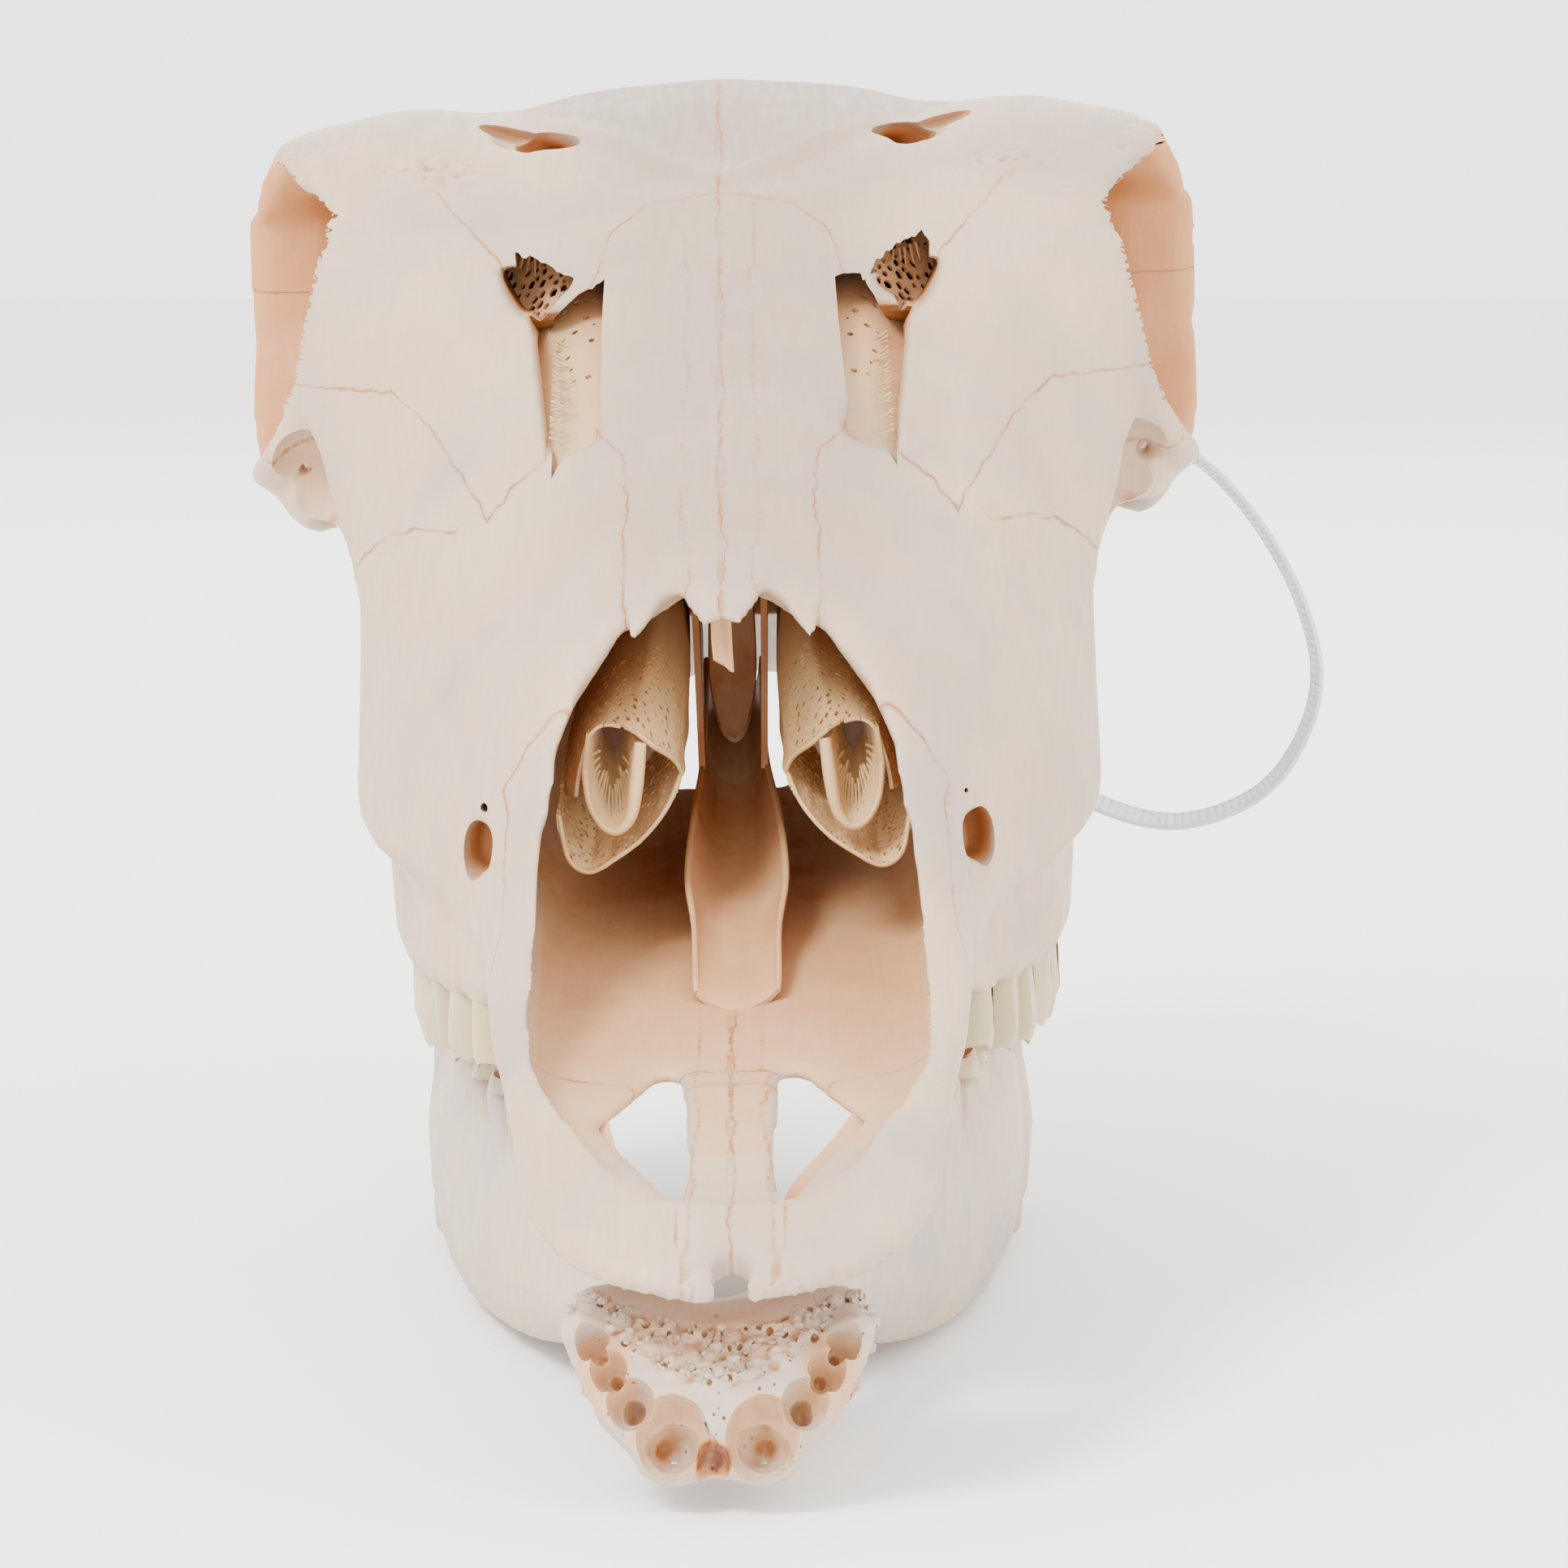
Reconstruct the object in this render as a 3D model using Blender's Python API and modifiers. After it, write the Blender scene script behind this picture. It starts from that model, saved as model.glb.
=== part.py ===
"""Waterbuck skull without horns, with its lower jaw, lying on its jaw as it would on a table.

Lengths are in millimetres until a mesh is made. X is to the skull's left and right, with the
middle of the skull at 0. Y runs back from the tips of the snout. Z is up from the table.
"""

import math

import bmesh
import bpy
import numpy as np
from mathutils import Euler, Matrix, Vector

# Driving dimensions
MM = 0.001
SEAM = 0.3
NASAL_TIP_Y = 85.0
JAW_SHIFT_X = -1.4
SKULL_ROLL = math.radians(1.4)
SKULL_ROLL_Z = 48.0
BLADE_X = 41.4, 45.8
TIE_WIDTH = 3.4
TIE_THICKNESS = 1.2
TIE_TWIST = math.radians(30)

# Mesh fineness
VOXEL = 0.9
SKULL_TRIANGLES = 2450
JAW_TRIANGLES = 860
TURBINATE_TRIANGLES = 180
TOOTH_SIDES = 6

# Outline of the face and snout: each rail runs back along the skull as (y, x, z)
FACE_RAILS = (
    # middle of the top
    ((-1, 0, 31.8), (4, 0, 35), (12, 0, 38.4), (28, 0, 45), (58, 0, 61), (82, 0, 78.5), (93, 0, 91),
     (104, 0, 112), (112, 0, 120.2), (160, 0, 141.8), (213, 0, 165.7)),
    # rim of the nose opening, then edge of the nasal bone
    ((-1, 3, 31.7), (4, 6, 35), (12, 9, 38.8), (20, 12.5, 42), (28, 16.5, 47), (38, 18.5, 53),
     (58, 21.3, 61.3), (72, 22.3, 68.4), (82, 22.9, 78.5),
     (93, 22.1, 91), (99, 18.2, 101.9), (104, 14.5, 111.6), (120, 13.5, 121.5), (142, 14.6, 131),
     (160, 19.8, 137), (190, 20.2, 152.5), (213, 26, 164)),
    # upper cheek
    ((-1, 4.5, 31.4), (4, 12, 34.8), (12, 17, 38), (28, 22.5, 45.5), (58, 28, 59), (72, 29.5, 66),
     (82, 29, 75), (93, 28, 87), (104, 24, 105), (120, 22, 116), (140, 23, 126),
     (160, 27.5, 131), (185, 29, 148),
     (203, 36, 159), (213, 42, 166)),
    # middle of the cheek
    ((-1, 5.4, 31), (4, 16, 34.3), (12, 22, 37), (28, 27, 43), (58, 32, 57), (72, 33, 62), (82, 32.5, 69),
     (93, 32.5, 78), (104, 33, 92), (120, 37, 103), (140, 41, 112), (160, 44, 119), (178, 44, 134),
     (190, 44, 149), (203, 58, 157), (213, 62, 162)),
    # widest line: snout, facial tuber, rim of the orbit
    ((-1, 6, 30.4), (2, 13, 31.2), (6, 19, 33.2), (12, 23.6, 35.5), (20, 26.6, 38), (28, 28.5, 41),
     (45, 30.6, 49.5), (70, 33.3, 58.5),
     (93, 34.5, 66), (104, 38, 74), (120, 46, 78), (135, 53, 79.5), (150, 55.2, 83), (165, 55.2, 96),
     (180, 55.6, 109), (192, 60, 124), (203, 65, 138), (211, 66, 138)),
    # under the cheek
    ((-1, 5.4, 29.8), (4, 15.5, 31.2), (12, 22.5, 33.8), (28, 27.5, 38.4), (45, 29, 45.5), (60, 31, 50),
     (82, 32.5, 55), (104, 36, 64),
     (120, 41.5, 67), (135, 45.8, 68), (150, 49, 71), (165, 51.5, 84), (180, 53, 98), (192, 55, 108),
     (203, 58, 113), (211, 60, 115)),
    # outer edge of the tooth sockets
    ((-1, 4.5, 29.5), (4, 12, 30.6), (12, 18.5, 32.8), (28, 24, 37.3), (45, 25, 43.3), (60, 27.5, 47.3),
     (82, 30, 51), (95, 32, 54),
     (104, 36, 56), (120, 42, 55.5), (140, 47, 55.5), (158, 49, 56.5), (180, 49.6, 58),
     (197, 48.5, 61), (206, 48, 80), (213, 50, 108)),
    # inner edge of the tooth sockets
    ((-1, 3, 29.4), (4, 8, 30.6), (12, 11, 33), (28, 15, 37.6), (60, 17, 46.3), (82, 19, 50.8),
     (104, 21, 55.3), (120, 24, 56), (140, 28, 56.5), (158, 31, 57.2), (190, 34, 59.5),
     (200, 33, 65), (208, 31, 84), (213, 29, 104)),
    # side of the palate
    ((-1, 1.5, 29.3), (4, 4, 30.8), (28, 8, 38.2), (60, 12, 46), (104, 15, 55.5), (140, 17, 62.8),
     (190, 17, 73.5), (200, 16, 78), (208, 15, 92), (213, 15, 106)),
    # middle of the palate
    ((-1, 0, 29.3), (4, 0, 30.9), (28, 0, 38.6), (60, 0, 46.2), (104, 0, 55.7), (190, 0, 74), (200, 0, 79),
     (208, 0, 92), (213, 0, 106)),
)

# Outline of the forehead and braincase
CRANIUM_RAILS = (
    # middle of the top
    ((195, 0, 156), (213, 0, 165.2), (228, 0, 168.6), (242, 0, 172.8), (258, 0, 179.3), (275, 0, 182),
     (300, 0, 178), (320, 0, 168.5), (335, 0, 156), (343, 0, 146)),
    # brow beside the middle
    ((195, 27, 150), (213, 28, 164.5), (232, 31, 174.2), (245, 31, 176.7), (260, 28, 177.6), (275, 24, 179.4),
     (300, 22, 176), (320, 22, 167), (335, 24, 154), (343, 24, 146)),
    # shoulder over the orbit
    ((195, 33, 146), (213, 43, 167.3), (228, 48, 176.4), (242, 49, 178.9), (252, 45, 177),
     (262, 38, 174), (275, 36, 171), (300, 37, 166), (320, 40, 155), (335, 41, 145), (343, 38, 137)),
    # edge of the shelf over the orbit, then side of the braincase
    ((195, 36, 140), (205, 50, 153), (213, 60, 164.5), (222, 67, 170.6), (232, 69.6, 173.6),
     (242, 70.5, 173.6), (251, 66, 169.5), (259, 50, 161), (268, 41.5, 155), (285, 42, 149),
     (305, 45, 141), (322, 48.5, 131), (335, 48, 126), (343, 42, 122)),
    # under the shelf
    ((195, 34, 134), (205, 44, 144), (213, 52, 157), (222, 58, 163.5), (232, 62, 166.5),
     (242, 62, 167), (251, 56, 162), (259, 42, 152), (268, 39, 144), (285, 40, 136),
     (305, 44, 126), (322, 48, 115), (335, 46, 111), (343, 38, 110)),
    # wall behind the eye
    ((195, 30, 120), (213, 34, 134), (232, 32, 143), (250, 33, 140), (268, 36, 130), (285, 39, 121),
     (305, 39, 112), (322, 40, 104), (335, 34, 100), (343, 28, 98)),
    # side of the skull base
    ((195, 14, 104), (232, 16, 106), (250, 18, 104), (268, 20, 99), (285, 20, 92.5), (305, 18, 85),
     (322, 16, 82), (343, 12, 87)),
    # middle of the skull base
    ((195, 0, 102), (213, 0, 101), (250, 0, 97), (285, 0, 89.5), (305, 0, 84), (322, 0, 81), (343, 0, 87)),
)

# Shelf of the nasal bones, free of the face in front
NASAL_RAILS = (
    ((85, 0, 108.2), (104, 0, 116.8), (150, 0, 137.3)),
    ((85, 8, 107.2), (104, 8, 115.4), (150, 9, 136)),
    ((85, 13, 104.2), (104, 13.8, 112), (150, 14, 132.5)),
    ((85, 12.6, 103), (104, 13, 110.4), (150, 13, 129)),
    ((85, 7.8, 105.8), (104, 7.6, 113.6), (150, 8, 132)),
    ((85, 0, 106.8), (104, 0, 115), (150, 0, 133)),
)

# Hollow of the nose, from the snout to the openings behind the palate
CAVITY_RAILS = (
    # middle of the roof
    ((16, 0, 60), (50, 0, 92), (84, 0, 105.8), (104, 0, 114.4), (130, 0, 125.4), (160, 0, 138.3),
     (190, 0, 151), (203, 0, 150)),
    # edge of the roof
    ((16, 10, 60), (50, 17, 84), (84, 14, 99), (96, 12.4, 105.6), (104, 12, 109.2), (120, 11.2, 117.6),
     (140, 12, 126.4), (160, 17.3, 132.2), (190, 17.3, 148), (203, 14, 146)),
    # rim of the nose opening, then upper wall
    ((16, 9.6, 44), (28, 16.2, 52), (38, 18.3, 60), (58, 21.1, 67), (72, 22.1, 74), (82, 22.7, 83),
     (93, 21.8, 94.5), (99, 18.1, 104), (104, 16, 106), (120, 17.5, 111.5), (140, 19.5, 121),
     (160, 23.5, 126), (190, 24, 141), (203, 18, 138)),
    # side wall
    ((16, 11, 40.6), (28, 19, 45.2), (38, 23.5, 50), (58, 28.6, 56.5), (72, 30, 61), (82, 30.2, 66),
     (93, 30.5, 72), (104, 31, 80), (120, 31.5, 88), (140, 31, 96), (160, 29, 106), (190, 21, 114),
     (203, 15, 112)),
    # side of the floor
    ((16, 9, 39.4), (28, 17, 42.6), (58, 26, 49), (82, 27, 54.5), (104, 28, 59.5), (140, 24, 67),
     (160, 20, 71.5), (190, 12.5, 78.5), (203, 11.5, 84)),
    # middle of the floor
    ((16, 0, 38.8), (28, 0, 41.4), (58, 0, 47.8), (104, 0, 57.8), (190, 0, 76.3), (203, 0, 79.1)),
)

# Vomer: a gutter on a keel, from its tip on the palate back to the skull base
VOMER_RAILS = (
    ((90, 0, 56.4), (96, 0, 56.9), (120, 0, 63.5), (150, 0, 75), (201, 0, 94)),
    ((90, 0.5, 56.6), (96, 3.2, 57.6), (120, 4.2, 64.8), (150, 4, 76.8), (201, 2.6, 96)),
    ((90, 0.7, 56.9), (96, 4.2, 58.8), (120, 5.3, 69), (150, 5.3, 81), (201, 4, 101)),
    ((90, 1.0, 56.8), (96, 5.4, 58.6), (120, 6.4, 69), (150, 6.4, 81), (201, 5, 101)),
    ((90, 0.9, 56.2), (96, 4.4, 56.8), (120, 4.6, 61.6), (150, 4.2, 73), (201, 3.2, 92)),
    ((90, 0.7, 55.6), (96, 1.6, 56.2), (120, 1.2, 59), (150, 1.0, 68), (201, 1.2, 89)),
    ((90, 0, 55.3), (96, 0, 56.1), (120, 0, 58.6), (150, 0, 67), (201, 0, 88.5)),
)

# Spade of the lower jaw that carried the front teeth
SPADE_RAILS = (
    ((4.5, 0, 12), (10, 0, 18.5), (18, 0, 24), (26, 0, 24.6), (40, 0, 22), (70, 0, 15)),
    ((4.5, 8, 12), (10, 13.6, 19.5), (18, 18.8, 24.8), (26, 17, 27), (40, 11, 25.4), (70, 6, 20)),
    ((4.5, 9, 8.5), (10, 15, 15), (18, 20, 20.5), (26, 18.4, 21), (40, 13, 19), (70, 8, 17)),
    ((4.5, 6.5, 5.2), (10, 11, 7), (18, 13.5, 8), (26, 12, 6.8), (40, 9.5, 8), (70, 5, 11)),
    ((4.5, 0, 5), (10, 0, 4.8), (18, 0, 5), (26, 0, 5.5), (40, 0, 8), (70, 0, 11)),
)

# Tooth rows: length along the row and width across it, from the second premolar back
UPPER_TEETH = ((11, 9.5), (12, 12), (12.5, 14), (17.5, 16), (20, 17), (21.5, 16))
LOWER_TEETH = ((8, 6.5), (11, 8), (13, 9), (17, 10.5), (19.5, 11.5), (26, 11.5))
TOOTH_ROW_Y = 103.5
UPPER_CHEEK_LINE = ((103, 35.6, 0), (120, 41.4, 0), (140, 46.1, 0), (160, 48.6, 0), (180, 49.1, 0),
                    (200, 48, 0))
UPPER_TIP_Z = ((103, 46.4, 0), (120, 45, 0), (160, 43.4, 0), (200, 45.5, 0))
LOWER_TIP_Z = 41.6
LOWER_INSET = 9.0
UPPER_ROOT_Z = 64.0
LOWER_ROOT_Z = 26.0

# Empty sockets of the lower front teeth, from the middle outward: their places and radii
SOCKET_PLACES = ((6.0, 7.0, 9.2), (11.8, 9.4, 14.0), (14.8, 12.4, 18.0), (17.2, 15.2, 21.4))
SOCKET_RADII = (5.9, 4.1, 3.5, 3.2)
SOCKET_WALL = 1.5

# Loop of the tie that holds the jaw to the cheek arch
TIE_PATH = ((68.4, 266, 123.4), (76.8, 266, 118.8), (84.9, 267, 109.6), (91.6, 268, 97.6), (94.7, 269, 85),
            (92, 271, 73.4), (84.8, 273, 64.4), (72.2, 276, 59.8), (59, 279, 62.6), (46.6, 282, 70),
            (36.4, 281, 81), (33.8, 275.5, 93), (36.6, 270.5, 104), (43.6, 268.5, 112.4), (52.4, 268, 119.4),
            (60.4, 267, 124))
TIE_LOCK = (30.8, 272.4, 87), (34.8, 278.8, 92)


# Materials
def material(name, colour, roughness):
    mat = bpy.data.materials.new(name)
    mat.use_nodes = True
    shader = mat.node_tree.nodes["Principled BSDF"]
    shader.inputs["Base Color"].default_value = (*colour, 1)
    shader.inputs["Roughness"].default_value = roughness
    shader.inputs["Metallic"].default_value = 0.0
    return mat


# Smooth curves
def along(keys, y):
    """The (x, z) of a rail at y, on a smooth curve through its keys that doesn't swing past them."""
    keys = np.array(keys, float)
    t, v = keys[:, 0], keys[:, 1:]
    steps = np.diff(t)[:, None]
    slopes = np.diff(v, axis=0) / steps
    tangents = np.vstack([slopes[:1], np.zeros((len(t) - 2, v.shape[1])), slopes[-1:]])
    both = slopes[:-1] * slopes[1:]
    harmonic = 2 * both / np.where(both > 0, slopes[:-1] + slopes[1:], 1)
    tangents[1:-1] = np.where(both > 0, harmonic, 0)
    y = min(max(y, t[0]), t[-1])
    i = int(min(max(np.searchsorted(t, y) - 1, 0), len(t) - 2))
    s = (y - t[i]) / steps[i, 0]
    a, b = (1 + 2 * s) * (1 - s) ** 2, s * s * (3 - 2 * s)
    c, d = s * (1 - s) ** 2 * steps[i, 0], s * s * (s - 1) * steps[i, 0]
    return a * v[i] + b * v[i + 1] + c * tangents[i] + d * tangents[i + 1]


def spline(points, samples, closed=False):
    """Points of a smooth curve through the given ones, with so many samples to a span."""
    points = np.array(points, float)
    count = len(points)
    if closed:
        padded = np.vstack([points[-1:], points, points[:2]])
    else:
        padded = np.vstack([2 * points[0] - points[1], points, 2 * points[-1] - points[-2]])
    out = []
    for i in range(count if closed else count - 1):
        p0, p1, p2, p3 = padded[i:i + 4]
        for k in range(samples):
            s = k / samples
            out.append(0.5 * (2 * p1 + (p2 - p0) * s + (2 * p0 - 5 * p1 + 4 * p2 - p3) * s * s
                              + (3 * p1 - p0 - 3 * p2 + p3) * s ** 3))
    if not closed:
        out.append(points[-1])
    return np.array(out)


# Making and joining pieces
def add_object(name, mesh):
    obj = bpy.data.objects.new(name, mesh)
    bpy.context.scene.collection.objects.link(obj)
    return obj


def from_bmesh(name, bm):
    bmesh.ops.recalc_face_normals(bm, faces=bm.faces)
    mesh = bpy.data.meshes.new(name)
    bm.to_mesh(mesh)
    bm.free()
    return add_object(name, mesh)


def skin_rings(name, rings, closed_path=False):
    """A closed solid through rings of points, capped at its two ends or joined end to end."""
    bm = bmesh.new()
    loops = [[bm.verts.new(Vector(p) * MM) for p in ring] for ring in rings]
    count = len(loops[0])
    pairs = list(zip(loops[:-1], loops[1:]))
    if closed_path:
        pairs.append((loops[-1], loops[0]))
    for near, far in pairs:
        for k in range(count):
            m = (k + 1) % count
            bm.faces.new((near[k], near[m], far[m], far[k]))
    if not closed_path:
        bm.faces.new(loops[0][::-1])
        bm.faces.new(loops[-1])
    return from_bmesh(name, bm)


def loft(name, rails, y_from, y_to, step, samples=4):
    """A symmetric solid whose half section runs from the first rail to the last, both at x = 0."""
    rings = []
    for y in np.linspace(y_from, y_to, max(2, round((y_to - y_from) / step) + 1)):
        half = spline([along(rail, y) for rail in rails], samples)
        half[:, 0] = np.maximum(half[:, 0], 0)
        half[0, 0] = half[-1, 0] = 0
        right = [(x, y, z) for x, z in half]
        left = [(-x, y, z) for x, z in half[-2:0:-1]]
        rings.append(right + left)
    return skin_rings(name, rings)


def tube(name, path, sides=14, samples=6):
    """A bar along a smooth path of (x, y, z, half width, half height) with an oval section."""
    line = spline(path, samples)
    rings = []
    for i, row in enumerate(line):
        ahead = Vector(line[min(i + 1, len(line) - 1)][:3]) - Vector(line[max(i - 1, 0)][:3])
        ahead.normalize()
        across = Vector((0, 0, 1)).cross(ahead)
        if across.length < 0.3:
            across = Vector((1, 0, 0))
        across.normalize()
        if across.x < 0:
            across = -across
        up = ahead.cross(across).normalized()
        centre = Vector(row[:3])
        rings.append([centre + across * row[3] * math.cos(a) + up * row[4] * math.sin(a)
                      for a in np.linspace(0, math.tau, sides, endpoint=False)])
    return skin_rings(name, rings)


def ellipsoid(name, centre, radii, turn=(0, 0, 0), segments=32):
    bm = bmesh.new()
    bmesh.ops.create_uvsphere(bm, u_segments=segments, v_segments=segments // 2, radius=1)
    turned = Euler([math.radians(a) for a in turn]).to_matrix().to_4x4()
    place = Matrix.Translation(Vector(centre) * MM) @ turned @ Matrix.Diagonal((*[r * MM for r in radii], 1))
    bmesh.ops.transform(bm, matrix=place, verts=bm.verts)
    return from_bmesh(name, bm)


def box(name, low, high):
    bm = bmesh.new()
    bmesh.ops.create_cube(bm, size=1)
    size = [b - a for a, b in zip(low, high)]
    centre = [(a + b) / 2 for a, b in zip(low, high)]
    place = Matrix.Translation(Vector(centre) * MM) @ Matrix.Diagonal((*[s * MM for s in size], 1))
    bmesh.ops.transform(bm, matrix=place, verts=bm.verts)
    return from_bmesh(name, bm)


def grown_outline(outline, grow):
    """The outline moved outward by grow, each corner along the mean of its two edges' normals."""
    points = [Vector(p) for p in outline]
    area = sum(a.x * b.y - b.x * a.y for a, b in zip(points, points[1:] + points[:1]))
    side = 1 if area > 0 else -1
    out = []
    for i, p in enumerate(points):
        before = (p - points[i - 1]).normalized()
        after = (points[(i + 1) % len(points)] - p).normalized()
        normal = (Vector((before.y, -before.x)) + Vector((after.y, -after.x))).normalized() * side
        stretch = max(0.5, normal.dot(Vector((after.y, -after.x)) * side))
        out.append(p + normal * grow / stretch)
    return out


def prism(name, outline, axis, low, high, grow=0.0):
    """An outline pushed along one axis: (x, z) along Y, (y, z) along X or (x, y) along Z."""
    points = grown_outline(outline, grow) if grow else [Vector(p) for p in outline]
    place = {"X": lambda p, t: (t, p.x, p.y),
             "Y": lambda p, t: (p.x, t, p.y),
             "Z": lambda p, t: (p.x, p.y, t)}
    return skin_rings(name, [[place[axis](p, t) for p in points] for t in (low - grow, high + grow)])


def mirrored(obj, name):
    """A copy of the object on the other side of the skull."""
    bm = bmesh.new()
    bm.from_mesh(obj.data)
    bmesh.ops.scale(bm, vec=(-1, 1, 1), verts=bm.verts)
    return from_bmesh(name, bm)


def both_sides(obj):
    return [obj, mirrored(obj, obj.name + "_other")]


def remove(*objects):
    for obj in objects:
        bpy.data.objects.remove(obj, do_unlink=True)


def copy_of(obj, name):
    return add_object(name, obj.data.copy())


def bake(obj):
    """Puts the result of the object's modifiers into its mesh."""
    graph = bpy.context.evaluated_depsgraph_get()
    mesh = bpy.data.meshes.new_from_object(obj.evaluated_get(graph))
    obj.modifiers.clear()
    obj.data = mesh
    return obj


def fuse_soft(name, pieces, voxel=VOXEL, smoothing=6):
    """One closed skin round all the pieces, with the joins between them rounded."""
    bm = bmesh.new()
    for piece in pieces:
        bm.from_mesh(piece.data)
    remove(*pieces)
    obj = from_bmesh(name, bm)
    remesh = obj.modifiers.new("skin", "REMESH")
    remesh.mode = "VOXEL"
    remesh.voxel_size = voxel * MM
    smooth = obj.modifiers.new("soften", "SMOOTH")
    smooth.factor = 0.5
    smooth.iterations = smoothing
    return bake(obj)


def combine(obj, others, operation):
    """Cuts the others from the object, joins them to it, or keeps what is inside them."""
    for other in others:
        change = obj.modifiers.new("combine", "BOOLEAN")
        change.solver = "MANIFOLD"
        change.operation = operation
        change.object = other
        bake(obj)
    remove(*others)
    return obj


def cut(obj, *others):
    return combine(obj, others, "DIFFERENCE")


def join(obj, *others):
    return combine(obj, others, "UNION")


def keep_inside(obj, *others):
    return combine(obj, others, "INTERSECT")


def thin_out(obj, triangles):
    count = sum(len(face.vertices) - 2 for face in obj.data.polygons)
    fewer = obj.modifiers.new("thin out", "DECIMATE")
    fewer.ratio = min(1.0, triangles / count)
    return bake(obj)


def grown(obj, name, by=SEAM):
    """A copy of the object that is thicker all round by the seam."""
    copy = copy_of(obj, name)
    swell = copy.modifiers.new("swell", "DISPLACE")
    swell.mid_level = 0.0
    swell.strength = by * MM
    return bake(copy)


def islands(bm):
    """The separate closed surfaces of a mesh, as lists of faces."""
    left = set(bm.faces)
    found = []
    while left:
        todo = [left.pop()]
        island = []
        while todo:
            face = todo.pop()
            island.append(face)
            for edge in face.edges:
                for other in edge.link_faces:
                    if other in left:
                        left.remove(other)
                        todo.append(other)
        found.append(island)
    return found


def keep_largest(obj):
    """Leaves only the surface with the most area, and so drops scraps and sealed hollows."""
    bm = bmesh.new()
    bm.from_mesh(obj.data)
    parts = sorted(islands(bm), key=lambda faces: sum(f.calc_area() for f in faces))
    loose = [face for faces in parts[:-1] for face in faces]
    bmesh.ops.delete(bm, geom=loose, context="FACES")
    bm.to_mesh(obj.data)
    bm.free()
    return obj


# The skull in one piece
def skull_pieces():
    pieces = [
        loft("face", FACE_RAILS, -1, 213, 2.0),
        loft("cranium", CRANIUM_RAILS, 195, 343, 2.0),
        loft("nasals", NASAL_RAILS, NASAL_TIP_Y, 150, 3.0),
        ellipsoid("nuchal knob", (0, 341, 146), (6, 5, 8)),
    ]
    one_side = [
        # bar behind the eye, from the shelf down to the arch
        tube("eye bar", ((62, 245, 171, 10.4, 4.4), (65.6, 249, 166, 10.4, 3.6), (67.8, 251, 152, 8.3, 2.8),
                         (69.5, 248, 139, 6.6, 2.8), (70.1, 240, 127, 5.2, 3.4), (68.4, 228, 121.8, 4, 4))),
        # cheek arch
        tube("orbit rim", ((60, 206, 159, 2, 2), (62.4, 203.6, 148, 2.2, 2.2), (64.4, 204.5, 137, 2.6, 2.6),
                           (67.6, 208, 128.6, 3, 3), (70.6, 215, 124, 3.6, 2.6), (71, 227, 122.6, 3.6, 3))),
        tube("arch", ((58, 204, 119.4, 3, 3), (64, 212, 120, 4, 3.5), (66.6, 223, 120, 3.6, 4),
                      (67, 238, 118.6, 3.4, 5.4), (66, 254, 116.6, 3, 5.6), (63.5, 269, 115.4, 3, 4.8),
                      (58, 283, 115.4, 4.4, 4), (49, 292, 116.6, 7, 4.4))),
        ellipsoid("joint socket", (49, 291, 117.5), (16, 13, 5.4)),
        tube("temple crest", ((52, 296, 117, 5, 4), (48, 310, 121, 4, 4), (47, 324, 130, 4, 4),
                              (45, 333, 138, 3, 3))),
        ellipsoid("ear bulla", (24, 290, 91), (8, 13, 10)),
        tube("ear tube", ((36, 300, 110, 4, 4), (44, 301, 111, 4, 4), (50, 302, 112, 3.4, 3.4))),
        ellipsoid("condyle", (13.4, 341, 88.4), (10.5, 12, 12.4), (0, 15, -20)),
        tube("jugular process", ((41, 323, 112, 7, 6), (38.5, 323, 97, 3.4, 5), (36, 320, 84, 2.6, 4),
                                 (34, 316, 75, 2, 2.6))),
        tube("nuchal crest", ((0, 338, 154, 3, 3), (22, 338.5, 149.5, 3.4, 3), (37, 337, 138, 3.4, 3),
                              (45, 332, 122, 3.4, 3), (46, 326, 110, 4, 3))),
        tube("pterygoid", ((13.5, 200, 88, 1.6, 9), (13.5, 214, 92, 1.5, 9), (14, 230, 97, 1.5, 8),
                           (14.5, 246, 101, 2, 5))),
    ]
    for piece in one_side:
        pieces += both_sides(piece)
    return pieces


def skull_cutters():
    """The hollows and holes of the skull, each a closed solid."""
    cutters = [
        loft("nose cavity", CAVITY_RAILS, 16, 203, 2.5),
        ellipsoid("spinal hole", (0, 353, 102), (10.5, 24, 9.5)),
        # way out behind the palate, which ends in a curved notch
        prism("throat", ((-11, 200), (-9.5, 193), (-5, 190), (0, 192), (5, 190), (9.5, 193), (11, 200),
                         (11, 240), (-11, 240)), "Z", 60, 100.5),
    ]
    one_side = [
        ellipsoid("orbit", (74, 226, 146.5), (32, 22.5, 22)),
        # hole in the palate beside the middle strip of the snout
        prism("palate hole", ((7.6, 72), (11.8, 62), (14.6, 55), (18, 50), (15.8, 42), (11.8, 32),
                              (9, 23), (7.4, 13.5), (6.2, 22), (6, 32), (6.8, 48)), "Z", 25, 60),
        # gap beside the nasal bone, in two rooms with a strut between
        prism("lower gap", ((20.2, 150.2), (19.9, 137), (17.2, 131.4), (25.8, 128.4), (27.6, 140),
                            (28.6, 145.4)), "Y", 135, 216),
        prism("upper gap", ((22.3, 152.6), (29.6, 147.8), (33, 151.2), (34.6, 156.6), (28.5, 155.4)),
              "Y", 165, 222),
        ellipsoid("cheek hole", (34.8, 102, 77.6), (2.5, 10, 4.1)),
        ellipsoid("brow hole", (31.2, 231, 175), (5.2, 4.6, 5.5), (15, 0, -20)),
        ellipsoid("ear hole", (53, 302.4, 112), (6, 2.2, 2.2)),
        ellipsoid("cheek hollow", (80, 201, 96), (20, 30, 19)),
    ]
    for cutter in one_side:
        cutters += both_sides(cutter)
    return cutters


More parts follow.
